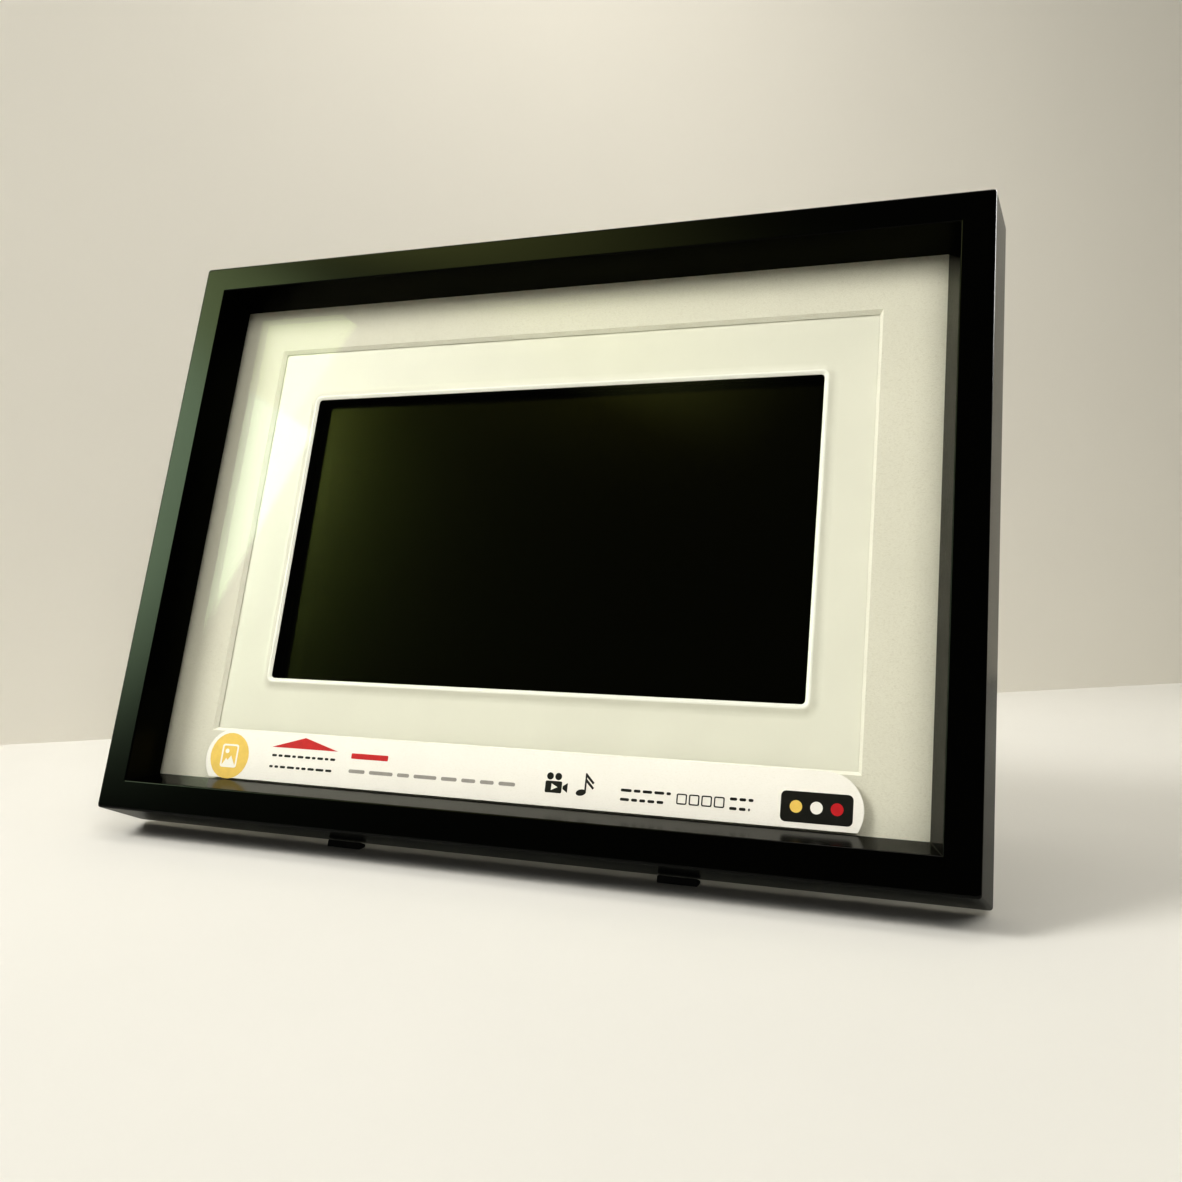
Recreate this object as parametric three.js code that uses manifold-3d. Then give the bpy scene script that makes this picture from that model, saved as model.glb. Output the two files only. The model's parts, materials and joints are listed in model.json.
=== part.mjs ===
// Digital photo frame: a shadow-box frame round a clear pane, a bevel-cut mat and an 8-inch
// display module, standing on two rubber feet and a hinged, swivelling leg.
// Millimetres, +Z up. Everything on the frame is drawn in its own upright axes (X right,
// Y from the front face towards the back, Z up along the frame) and is then leaned back.

import * as THREE from 'three';
import { mergeVertices } from 'three/addons/utils/BufferGeometryUtils.js';
import Module from 'manifold-3d';

const wasm = await Module();
wasm.setup();

// ---------------------------------------------------------------- driving dimensions

const LEAN = THREE.MathUtils.degToRad(17.5);
const GAP = 0.3;

// Shadow-box moulding
const FRAME_W = 274.1;
const FRAME_H = 196.2;
const FRAME_DEPTH = 24.2;
const FRAME_FLARE = 2.4;
const FRONT_BAND = 9.3;
const REVEAL_DEPTH = 11.4;
const REVEAL_SLOPE = 3.85;
const RABBET_W = 261;
const RABBET_H = 183.1;

// Sheets behind the lip, as distances from the front face
const PANE_Y = 11.7;
const PANE_T = 2.0;
const MAT_Y = 14.0;
const MAT_T = 1.2;
const SHEET_W = 260;
const SHEET_H = 182.1;
const WINDOW_W = 211.4;
const WINDOW_H = 137;
const WINDOW_X = -1.2;
const WINDOW_Z = 0.6;
const WINDOW_BEVEL = 1.1;

// Label on the pane
const LABEL_LEFT = -106.7;
const LABEL_RIGHT = 107;
const LABEL_TOP = -68.6;
const LABEL_LOW = -84.5;

// White panel round the screen
const SURROUND_Y = 15.5;
const SURROUND_T = 1.7;
const SURROUND_W = 244;
const SURROUND_H = 168;
const OPENING_W = 178.1;
const OPENING_H = 100.4;
const LIP_W = 1.4;
const LIP_TOP_Y = 14.3;

// Display
const LCD_W = 193;
const LCD_H = 117;
const LCD_Y = 17.5;
const LCD_BACK_Y = 24.0;
const LCD_SKIN = 0.8;

// Chassis and main board
const CHASSIS_Y = 24.6;
const CHASSIS_T = 0.8;
const CHASSIS_W = 213;
const CHASSIS_H = 139;
const CHASSIS_BOSS_X = 103.5;
const CHASSIS_BOSS_Z = 66;
const BOARD_Y = 27.6;
const BOARD_T = 1.6;
const BOARD_X0 = -104;
const BOARD_X1 = -6;
const BOARD_Z0 = -38;
const BOARD_Z1 = 60;

// Rear cover
const FLANGE_Y0 = 22.1;
const FLANGE_Y1 = 24.1;
const FLANGE_W = 259;
const FLANGE_H = 181;
const COVER_BACK_Y = 38;
const COVER_W = 226;
const COVER_H = 152;
const COVER_DRAFT = 3;
const WALL = 2;

// Power button
const BUTTON_X = -60;
const BUTTON_Z = 46;
const BUTTON_R = 5;
const BUTTON_TIP_Y = 34.4;
const BUTTON_TRAVEL = 0.9;

// Turn clips
const CLIP_X = 135;
const CLIP_Z = 55;
const CLIP_REACH = 15;
const CLIP_R = 4;
const CLIP_T = 1.2;

// Stand
const SWIVEL_Z = 20;
const SWIVEL_R = 36;
const HINGE_Y = 46.5;
const HINGE_Z = 50;
const LEG_OPEN = THREE.MathUtils.degToRad(31.5);
const LEG_TOP_W = 46;
const LEG_FOOT_W = 32;
const LEG_T = 5;
const HEEL = 5.3;
const PIN_R = 1.5;

// Feet under the moulding
const FOOT_DROP = 1.0;
const FOOT_X = 55;
const FOOT_W = 12;
const FOOT_Y0 = 20.6;

// ---------------------------------------------------------------- materials

function finish(color, roughness, metalness = 0) {
  return new THREE.MeshStandardMaterial({ color, roughness, metalness });
}

const FRAME_BLACK = finish(0x11120f, 0.38);
const CLEAR_ACRYLIC = finish(0xe8eee6, 0.05);
const MAT_CREAM = finish(0xe9e3cf, 0.8);
const GLOSS_WHITE = finish(0xf1eddf, 0.25);
const LABEL_WHITE = finish(0xf6f3e6, 0.45);
const SCREEN_BLACK = finish(0x050504, 0.08);
const DIFFUSER = finish(0xf4f4f2, 0.6);
const STEEL = finish(0xb9bcbe, 0.35, 1);
const ZINC = finish(0xc9cbc8, 0.3, 1);
const BOARD_GREEN = finish(0x1d5a34, 0.5);
const CHIP_BLACK = finish(0x1b1b1d, 0.6);
const CABLE_WHITE = finish(0xe4e4e0, 0.55);
const FLEX_AMBER = finish(0xb8741f, 0.4);
const SOCKET_BLACK = finish(0x161616, 0.5);
const COVER_BLACK = finish(0x1a1a1b, 0.55);
const BUTTON_GREY = finish(0x2b2b2d, 0.45);
const RUBBER = finish(0x161616, 0.9);
const NYLON = finish(0xded9c8, 0.6);

// ---------------------------------------------------------------- solids

function toSolid(geometry) {
  const bare = geometry.clone();
  bare.deleteAttribute('normal');
  bare.deleteAttribute('uv');
  const merged = mergeVertices(bare, 1e-5);
  return new wasm.Manifold(new wasm.Mesh({
    numProp: 3,
    vertProperties: new Float32Array(merged.attributes.position.array),
    triVerts: new Uint32Array(merged.index.array),
  }));
}

function toGeometry(solid) {
  const mesh = solid.getMesh();
  const geometry = new THREE.BufferGeometry();
  geometry.setAttribute('position', new THREE.BufferAttribute(mesh.vertProperties, 3));
  geometry.setIndex(new THREE.BufferAttribute(mesh.triVerts, 1));
  geometry.computeVertexNormals();
  return geometry;
}

// One base geometry with others joined to it and then cut from it.
function carve(base, { add = [], cut = [] }) {
  let solid = toSolid(base);
  for (const piece of add) {
    solid = solid.add(toSolid(piece));
  }
  for (const piece of cut) {
    solid = solid.subtract(toSolid(piece));
  }
  return toGeometry(solid);
}

// A box given by its two corners.
function block(x0, x1, y0, y1, z0, z1) {
  const box = new THREE.BoxGeometry(x1 - x0, y1 - y0, z1 - z0);
  return box.translate((x0 + x1) / 2, (y0 + y1) / 2, (z0 + z1) / 2);
}

// A box whose front face (at y0) and back face (at y1) have different sizes.
function taperedBox(w0, h0, y0, w1, h1, y1) {
  const box = new THREE.BoxGeometry(1, 1, 1);
  const corners = box.attributes.position;
  for (let i = 0; i < corners.count; i += 1) {
    const front = corners.getY(i) < 0;
    const width = front ? w0 : w1;
    const height = front ? h0 : h1;
    corners.setXYZ(i, corners.getX(i) * width, front ? y0 : y1, corners.getZ(i) * height);
  }
  return box;
}

// A rectangle in X and Z with round corners.
function roundedRect(width, height, radius, x = 0, z = 0) {
  const shape = new THREE.Shape();
  const dx = width / 2 - radius;
  const dz = height / 2 - radius;
  const quarter = Math.PI / 2;
  shape.absarc(x + dx, z + dz, radius, 0, quarter);
  shape.absarc(x - dx, z + dz, radius, quarter, 2 * quarter);
  shape.absarc(x - dx, z - dz, radius, 2 * quarter, 3 * quarter);
  shape.absarc(x + dx, z - dz, radius, 3 * quarter, 4 * quarter);
  shape.closePath();
  return shape;
}

// A shape drawn in X and Z, extruded from depth y0 to depth y1.
function slab(shape, y0, y1, curveSegments = 4) {
  const settings = { depth: y1 - y0, bevelEnabled: false, curveSegments };
  return new THREE.ExtrudeGeometry(shape, settings).rotateX(Math.PI / 2).translate(0, y1, 0);
}

// A profile of [y, z] points, extruded across from x0 to x1.
function profileAcross(points, x0, x1) {
  const shape = new THREE.Shape(points.map(([y, z]) => new THREE.Vector2(y, z)));
  const geometry = new THREE.ExtrudeGeometry(shape, { depth: x1 - x0, bevelEnabled: false });
  const toFrame = new THREE.Matrix4().makeBasis(
    new THREE.Vector3(0, 1, 0),
    new THREE.Vector3(0, 0, 1),
    new THREE.Vector3(1, 0, 0),
  );
  return geometry.applyMatrix4(toFrame).translate(x0, 0, 0);
}

// A round peg along Y, centred on x, z.
function peg(radius, y0, y1, x = 0, z = 0, sides = 16) {
  const cylinder = new THREE.CylinderGeometry(radius, radius, y1 - y0, sides);
  return cylinder.translate(x, (y0 + y1) / 2, z);
}

// A washer along Y.
function ring(outer, inner, y0, y1, z = 0, sides = 32) {
  return carve(peg(outer, y0, y1, 0, z, sides), { cut: [peg(inner, y0 - 1, y1 + 1, 0, z, sides)] });
}

// A pan-head screw turned about Y, its head seated at headY and its tip at tipY.
function screwGeometry(tipY, headY, shankR, headR, headT, x, z) {
  const profile = [
    [0, tipY],
    [shankR, tipY + 1.2],
    [shankR, headY],
    [headR, headY],
    [headR * 0.8, headY + headT],
    [0, headY + headT],
  ];
  const points = profile.map(([r, y]) => new THREE.Vector2(r, y));
  return new THREE.LatheGeometry(points, 10).translate(x, 0, z);
}

// ---------------------------------------------------------------- assembly groups

const part = new THREE.Group();
const leaning = new THREE.Group();
leaning.rotation.x = -LEAN;
part.add(leaning);

function place(name, geometry, material, group = leaning) {
  const mesh = new THREE.Mesh(geometry, material);
  mesh.name = name;
  group.add(mesh);
  return mesh;
}

// ---------------------------------------------------------------- shadow box

const CLIP_SPOTS = [
  ['1', -1, 1],
  ['2', 1, 1],
  ['3', 1, -1],
  ['4', -1, -1],
];

function addShadowBox() {
  const flared = 2 * FRAME_FLARE;
  const body = taperedBox(FRAME_W, FRAME_H, 0, FRAME_W + flared, FRAME_H + flared, FRAME_DEPTH);
  const overrun = 1;
  const grow = 2 * REVEAL_SLOPE * (overrun / REVEAL_DEPTH);
  const innerW = FRAME_W - 2 * FRONT_BAND;
  const innerH = FRAME_H - 2 * FRONT_BAND;
  const lipW = innerW - 2 * REVEAL_SLOPE;
  const lipH = innerH - 2 * REVEAL_SLOPE;
  const reveal = taperedBox(
    innerW + grow, innerH + grow, -overrun,
    lipW - grow, lipH - grow, REVEAL_DEPTH + overrun,
  );
  const rabbet = taperedBox(
    RABBET_W, RABBET_H, REVEAL_DEPTH,
    RABBET_W, RABBET_H, FRAME_DEPTH + overrun,
  );
  const bores = CLIP_SPOTS.map(([, sx, sz]) => (
    peg(1.6, 16, FRAME_DEPTH + overrun, sx * CLIP_X, sz * CLIP_Z, 12)));
  place('front_frame', carve(body, { cut: [reveal, rabbet, ...bores] }), FRAME_BLACK);

  const pane = slab(roundedRect(SHEET_W, SHEET_H, 1), PANE_Y, PANE_Y + PANE_T, 2);
  place('front_pane', pane, CLEAR_ACRYLIC);
}

// Paper strip clinging to the pane, with round ends cut off level with the lip below.
function addLabel() {
  const shape = new THREE.Shape();
  const end = (x, radius) => {
    const middle = LABEL_TOP - radius;
    const cut = Math.asin((LABEL_LOW - middle) / radius);
    const angles = x > 0 ? [cut, Math.PI / 2] : [Math.PI / 2, Math.PI - cut];
    shape.absarc(x - Math.sign(x) * radius, middle, radius, ...angles);
  };
  end(LABEL_RIGHT, 10.5);
  end(LABEL_LEFT, 9.5);
  shape.closePath();
  place('front_label', slab(shape, PANE_Y - 0.6, PANE_Y - GAP, 12), LABEL_WHITE);
}

function addMat() {
  const board = slab(roundedRect(SHEET_W, SHEET_H, 1), MAT_Y, MAT_Y + MAT_T, 2);
  const wider = 2 * WINDOW_BEVEL;
  const window = taperedBox(
    WINDOW_W + 2 * wider, WINDOW_H + 2 * wider, MAT_Y - MAT_T,
    WINDOW_W - wider, WINDOW_H - wider, MAT_Y + 2 * MAT_T,
  ).translate(WINDOW_X, 0, WINDOW_Z);
  place('mat_board', carve(board, { cut: [window] }), MAT_CREAM);
}

// ---------------------------------------------------------------- display module

const COVER_SCREWS = [
  ['1', -117.5, 30],
  ['2', 0, 80],
  ['3', 117.5, 30],
  ['4', 117.5, -30],
  ['5', 0, -80],
  ['6', -117.5, -30],
];

const CHASSIS_SCREWS = [
  ['1', -CHASSIS_BOSS_X, CHASSIS_BOSS_Z],
  ['2', CHASSIS_BOSS_X, CHASSIS_BOSS_Z],
  ['3', CHASSIS_BOSS_X, -CHASSIS_BOSS_Z],
  ['4', -CHASSIS_BOSS_X, -CHASSIS_BOSS_Z],
];

function addSurround() {
  const back = SURROUND_Y + SURROUND_T;
  const panel = slab(roundedRect(SURROUND_W, SURROUND_H, 3), SURROUND_Y, back);
  const lip = slab(
    roundedRect(OPENING_W + 2 * LIP_W, OPENING_H + 2 * LIP_W, 2.6), LIP_TOP_Y, SURROUND_Y + 0.5);
  const opening = slab(roundedRect(OPENING_W, OPENING_H, 1.2), LIP_TOP_Y - 1, back + 1);
  const coverBosses = COVER_SCREWS.map(([, x, z]) => (
    peg(3.4, back - 0.5, FLANGE_Y0 - GAP, x, z, 12)));
  const chassisBosses = CHASSIS_SCREWS.map(([, x, z]) => (
    peg(3, back - 0.5, CHASSIS_Y - GAP, x, z, 12)));
  const coverBores = COVER_SCREWS.map(([, x, z]) => peg(1.5, back, 30, x, z, 8));
  const chassisBores = CHASSIS_SCREWS.map(([, x, z]) => peg(1.4, back, 30, x, z, 8));
  const geometry = carve(panel, {
    add: [lip, ...coverBosses, ...chassisBosses],
    cut: [opening, ...coverBores, ...chassisBores],
  });
  place('screen_surround', geometry, GLOSS_WHITE);
}

// Sensor strips glued behind the panel, below the screen and to its right.
function addTouchStrips() {
  const y0 = SURROUND_Y + SURROUND_T + GAP;
  const y1 = y0 + 0.3;
  place('touch_strip_bottom', slab(roundedRect(188, 8, 1, 0, -64.5), y0, y1, 2), FLEX_AMBER);
  place('touch_strip_right', slab(roundedRect(6, 116, 1, 101.2, 0), y0, y1, 2), FLEX_AMBER);
}

function addDisplay() {
  const shell = slab(roundedRect(LCD_W, LCD_H, 1), LCD_Y, LCD_BACK_Y, 2);
  const pocket = block(
    -LCD_W / 2 + LCD_SKIN, LCD_W / 2 - LCD_SKIN, LCD_Y + LCD_SKIN, LCD_BACK_Y + 1,
    -LCD_H / 2 + LCD_SKIN, LCD_H / 2 - LCD_SKIN);
  const view = block(-92.2, 92.2, LCD_Y - 1, LCD_Y + 2, -53.2, 53.2);
  place('lcd_frame', carve(shell, { cut: [pocket, view] }), STEEL);

  const inset = 2 * (LCD_SKIN + GAP);
  const innerW = LCD_W - inset;
  const innerH = LCD_H - inset;
  const glassY = LCD_Y + LCD_SKIN + GAP;
  const layers = [
    ['lcd_glass', 1.4, SCREEN_BLACK],
    ['light_guide', 1.9, DIFFUSER],
    ['lcd_back_plate', 0.8, STEEL],
  ];
  let y = glassY;
  for (const [name, thickness, material] of layers) {
    place(name, slab(roundedRect(innerW, innerH, 0.8), y, y + thickness, 2), material);
    y += thickness + GAP;
  }
}

// ---------------------------------------------------------------- chassis and electronics

const BOARD_POSTS = [
  ['1', BOARD_X0 + 5, BOARD_Z1 - 5],
  ['2', BOARD_X1 - 5, BOARD_Z0 + 5],
];

const INVERTER_POSTS = [
  [24, 55],
  [94, 55],
];

function addChassis() {
  const back = CHASSIS_Y + CHASSIS_T;
  const plate = slab(roundedRect(CHASSIS_W, CHASSIS_H, 2), CHASSIS_Y, back, 2);
  const posts = [...BOARD_POSTS.map(([, x, z]) => [x, z]), ...INVERTER_POSTS];
  const postPegs = posts.map(([x, z]) => peg(2.6, back - 0.2, BOARD_Y - GAP, x, z, 12));
  const postBores = posts.map(([x, z]) => peg(1.3, CHASSIS_Y - 1, BOARD_Y + 1, x, z, 12));
  const screwHoles = CHASSIS_SCREWS.map(([, x, z]) => (
    peg(1.5, CHASSIS_Y - 1, back + 1, x, z, 12)));
  const ribbonSlot = block(-55, -15, CHASSIS_Y - 1, back + 1, -62.5, -59);
  const lightening = [-30, 30].map((z) => block(28, 78, CHASSIS_Y - 1, back + 1, z - 9, z + 9));
  const geometry = carve(plate, {
    add: postPegs,
    cut: [...postBores, ...screwHoles, ribbonSlot, ...lightening],
  });
  place('chassis_plate', geometry, ZINC);
  for (const [tag, x, z] of CHASSIS_SCREWS) {
    const screw = screwGeometry(CHASSIS_Y - 6, back + GAP, 1.05, 2.4, 1.4, x, z);
    place(`chassis_screw_${tag}`, screw, STEEL);
  }
}

function addMainBoard() {
  const top = BOARD_Y + BOARD_T;
  const sheet = block(BOARD_X0, BOARD_X1, BOARD_Y, top, BOARD_Z0, BOARD_Z1);
  const holes = BOARD_POSTS.map(([, x, z]) => peg(1.5, BOARD_Y - 1, top + 1, x, z, 12));
  place('main_board', carve(sheet, { cut: holes }), BOARD_GREEN);
  for (const [tag, x, z] of BOARD_POSTS) {
    const screw = screwGeometry(BOARD_Y - 2.6, top + GAP, 0.95, 2.2, 1.3, x, z);
    place(`board_screw_${tag}`, screw, STEEL);
  }

  const seat = top + GAP;
  const chips = [
    ['processor_chip', -44, 18, 20, 20, 1.4],
    ['memory_chip', -20, 22, 10, 16, 1.1],
    ['flash_chip', -52, -14, 18, 12, 1.1],
  ];
  for (const [name, x, z, w, h, t] of chips) {
    place(name, block(x - w / 2, x + w / 2, seat, seat + t, z - h / 2, z + h / 2), CHIP_BLACK);
  }
  const switchTop = seat + 2.8;
  const switchBody = block(
    BUTTON_X - 3, BUTTON_X + 3, seat, switchTop, BUTTON_Z - 3, BUTTON_Z + 3);
  const plunger = peg(1.5, switchTop - 0.5, BUTTON_TIP_Y - BUTTON_TRAVEL - 0.2, BUTTON_X, BUTTON_Z);
  place('power_switch', carve(switchBody, { add: [plunger] }), SOCKET_BLACK);
  place('power_inductor', slab(roundedRect(8, 8, 2.4, -66, -26), seat, seat + 3.8), CHIP_BLACK);
  place('filter_capacitor', peg(3.15, seat, seat + 5.2, -50, -30, 16), ZINC);
}

// Sockets along the board's outer edge, each open towards the side of the cover.
const SOCKET_X = -107.6;

function socketShell(depth, y0, y1, z0, z1, wall, tongue) {
  const body = block(SOCKET_X, SOCKET_X + depth, y0, y1, z0, z1);
  const mouth = block(
    SOCKET_X - 1, SOCKET_X + depth - wall, y0 + wall, y1 - wall, z0 + wall, z1 - wall);
  return carve(body, { cut: [mouth], add: tongue ? [tongue] : [] });
}

function addSockets() {
  const seat = BOARD_Y + BOARD_T + GAP;
  place('card_socket', socketShell(30, seat, seat + 3.4, 19, 48, 0.4), STEEL);

  const usbTongue = block(SOCKET_X + 1.5, SOCKET_X + 13, seat + 3.4, seat + 5, 4, 14);
  place('usb_socket', socketShell(13.4, seat, seat + 6, 2.5, 15.5, 0.5, usbTongue), STEEL);

  const miniTongue = block(SOCKET_X + 1.2, SOCKET_X + 8.6, seat + 1.5, seat + 2.4, -10.5, -5.5);
  place('mini_usb_socket', socketShell(9, seat, seat + 4, -12, -4, 0.4, miniTongue), STEEL);

  const jackY = seat + 3.2;
  const jackZ = -25;
  const lying = (radius, length) => (
    new THREE.CylinderGeometry(radius, radius, length, 20).rotateZ(Math.PI / 2));
  const jackBody = block(SOCKET_X, SOCKET_X + 12, seat, seat + 6.4, jackZ - 4.5, jackZ + 4.5);
  const bore = lying(2.75, 11).translate(SOCKET_X + 4.5, jackY, jackZ);
  const pin = lying(0.8, 9).translate(SOCKET_X + 6, jackY, jackZ);
  place('dc_jack', carve(carve(jackBody, { cut: [bore] }), { add: [pin] }), SOCKET_BLACK);
}

// Flat cable that rises below the display, passes the slot in the chassis and runs up to the
// underside of the board.
function addRibbon() {
  const t = 0.3;
  const z0 = -61;
  const path = [
    [19, z0],
    [26.6, z0],
    [26.6, BOARD_Z0 + 6],
    [26.6 - t, BOARD_Z0 + 6],
    [26.6 - t, z0 + t],
    [19, z0 + t],
  ];
  place('display_ribbon', profileAcross(path, -52, -18), CABLE_WHITE);
}

function addBacklightDriver() {
  const y1 = BOARD_Y + 1.2;
  const sheet = block(18, 100, BOARD_Y, y1, 48, 62);
  const holes = INVERTER_POSTS.map(([x, z]) => peg(1.5, BOARD_Y - 1, y1 + 1, x, z, 12));
  place('backlight_board', carve(sheet, { cut: holes }), BOARD_GREEN);
  const transformer = block(44, 68, y1 + GAP, y1 + GAP + 5, 50, 60);
  place('backlight_transformer', transformer, FLEX_AMBER);
}

// Oval speakers behind the grilles in the lower corners.
const SPEAKER_X = 80;
const SPEAKER_Z = -55;

function addSpeakers() {
  for (const [side, sx] of [['left', -1], ['right', 1]]) {
    const x = sx * SPEAKER_X;
    const basket = slab(roundedRect(36, 18, 8.9, x, SPEAKER_Z), 31.2, 35.7, 6);
    const magnet = peg(7, 26.4, 31.4, x, SPEAKER_Z, 20);
    const cone = slab(roundedRect(32, 14, 6.9, x, SPEAKER_Z), 34.7, 36.5, 6);
    place(`speaker_${side}`, carve(basket, { add: [magnet], cut: [cone] }), CHIP_BLACK);
  }
}

// ---------------------------------------------------------------- rear cover

const HUB_R = 11.7;

function ventCuts() {
  const slots = [];
  for (let i = -5; i <= 5; i += 1) {
    slots.push(block(i * 8 - 1.2, i * 8 + 1.2, COVER_BACK_Y - 4, COVER_BACK_Y + 1, -66, -50));
  }
  return slots;
}

function grilleCuts() {
  const holes = [];
  for (const sx of [-1, 1]) {
    for (let column = -3; column <= 3; column += 1) {
      for (let row = -1; row <= 1; row += 1) {
        const x = sx * SPEAKER_X + column * 4;
        const z = SPEAKER_Z + row * 4;
        holes.push(peg(1.1, COVER_BACK_Y - 4, COVER_BACK_Y + 1, x, z, 6));
      }
    }
  }
  return holes;
}

function socketCuts() {
  const seat = BOARD_Y + BOARD_T + GAP;
  const x0 = -COVER_W / 2 - 1;
  const x1 = SOCKET_X - GAP;
  return [
    block(x0, x1, seat - 0.2, seat + 3.6, 18.6, 48.4),
    block(x0, x1, seat - 0.2, seat + 6.2, 2.2, 15.8),
    block(x0, x1, seat - 0.4, seat + 4.4, -12.4, -3.6),
    block(x0, x1, seat, seat + 6.4, -28.2, -21.8),
  ];
}

function addRearCover() {
  const flange = slab(roundedRect(FLANGE_W, FLANGE_H, 3), FLANGE_Y0, FLANGE_Y1);
  const draft = 2 * COVER_DRAFT;
  const outer = taperedBox(
    COVER_W, COVER_H, FLANGE_Y0, COVER_W - draft, COVER_H - draft, COVER_BACK_Y);
  const cavityW = COVER_W - 2 * WALL;
  const cavityH = COVER_H - 2 * WALL;
  const cavity = taperedBox(
    cavityW, cavityH, FLANGE_Y0 - 1, cavityW - draft, cavityH - draft, COVER_BACK_Y - WALL);
  const screwHoles = COVER_SCREWS.map(([, x, z]) => (
    peg(1.7, FLANGE_Y0 - 1, FLANGE_Y1 + 1, x, z, 12)));
  const hubBore = peg(HUB_R + GAP, COVER_BACK_Y - 4, COVER_BACK_Y + 1, 0, SWIVEL_Z, 32);
  const buttonBore = peg(
    BUTTON_R + GAP, COVER_BACK_Y - 4, COVER_BACK_Y + 1, BUTTON_X, BUTTON_Z, 24);
  const geometry = carve(flange, {
    add: [outer],
    cut: [cavity, hubBore, buttonBore, ...screwHoles, ...ventCuts(), ...grilleCuts(),
      ...socketCuts()],
  });
  place('rear_cover', geometry, COVER_BLACK);
  for (const [tag, x, z] of COVER_SCREWS) {
    const screw = screwGeometry(FLANGE_Y0 - 4, FLANGE_Y1 + GAP, 1.15, 2.8, 1.6, x, z);
    place(`cover_screw_${tag}`, screw, STEEL);
  }
}

// Cap with an inner collar that keeps it in its hole; it presses the switch behind it.
function addPowerButton() {
  const inside = COVER_BACK_Y - WALL - GAP;
  const cap = peg(BUTTON_R, inside - 0.8, COVER_BACK_Y + 1.4, BUTTON_X, BUTTON_Z, 24);
  const collar = peg(BUTTON_R + 1.4, inside - 1, inside, BUTTON_X, BUTTON_Z, 24);
  const stem = peg(1.6, BUTTON_TIP_Y, inside - 0.5, BUTTON_X, BUTTON_Z, 12);
  place('power_button', carve(cap, { add: [collar, stem] }), BUTTON_GREY);
}

// ---------------------------------------------------------------- turn clips

function addTurnClips() {
  const y0 = FRAME_DEPTH + GAP;
  for (const [tag, sx, sz] of CLIP_SPOTS) {
    const x = sx * CLIP_X;
    const z = sz * CLIP_Z;
    const length = CLIP_REACH + CLIP_R;
    const middle = x - sx * (length / 2 - CLIP_R);
    const blade = slab(roundedRect(length, 2 * CLIP_R, CLIP_R - 0.05, middle, z),
      y0, y0 + CLIP_T, 6);
    const clip = carve(blade, { cut: [peg(1.6, y0 - 1, y0 + CLIP_T + 1, x, z, 12)] });
    place(`turn_clip_${tag}`, clip, STEEL);
    const screw = screwGeometry(17, y0 + CLIP_T + GAP, 1.25, 3.1, 1.8, x, z);
    place(`clip_screw_${tag}`, screw, STEEL);
  }
}

// ---------------------------------------------------------------- stand

const LUG_X0 = 13.8;
const LUG_X1 = 19.5;
const KNUCKLE_R = 4.2;

function acrossPeg(radius, x0, x1, y, z, sides = 20) {
  const cylinder = new THREE.CylinderGeometry(radius, radius, x1 - x0, sides);
  return cylinder.rotateZ(Math.PI / 2).translate((x0 + x1) / 2, y, z);
}

// Disc that turns on the cover, with two lugs for the hinge pin.
function addSwivel() {
  const faceY = COVER_BACK_Y + GAP;
  const discTop = faceY + 3;
  const disc = peg(SWIVEL_R, faceY, discTop, 0, SWIVEL_Z, 48);
  const hub = peg(HUB_R, COVER_BACK_Y - WALL - GAP, faceY + 1, 0, SWIVEL_Z, 32);
  const spigot = peg(6, 32.4, faceY + 1, 0, SWIVEL_Z, 24);
  const lugs = [];
  for (const sx of [-1, 1]) {
    const x0 = sx > 0 ? LUG_X0 : -LUG_X1;
    const x1 = sx > 0 ? LUG_X1 : -LUG_X0;
    lugs.push(block(x0, x1, discTop - 0.5, HINGE_Y, HINGE_Z - KNUCKLE_R, HINGE_Z + KNUCKLE_R));
    lugs.push(acrossPeg(KNUCKLE_R, x0, x1, HINGE_Y, HINGE_Z));
  }
  const bore = acrossPeg(PIN_R + GAP, -LUG_X1 - 1, LUG_X1 + 1, HINGE_Y, HINGE_Z);
  place('stand_base', carve(disc, { add: [hub, spigot, ...lugs], cut: [bore] }), COVER_BLACK);
  place('hinge_pin', acrossPeg(PIN_R, -LUG_X1 - 0.5, LUG_X1 + 0.5, HINGE_Y, HINGE_Z), STEEL);

  const inside = COVER_BACK_Y - WALL - GAP;
  place('friction_washer', ring(16, 12.1, inside - 0.8, inside, SWIVEL_Z), NYLON);
  const ringTop = inside - 0.8 - GAP;
  place('retaining_ring', ring(15, 6.3, ringTop - 1.4, ringTop, SWIVEL_Z), STEEL);
}

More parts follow.
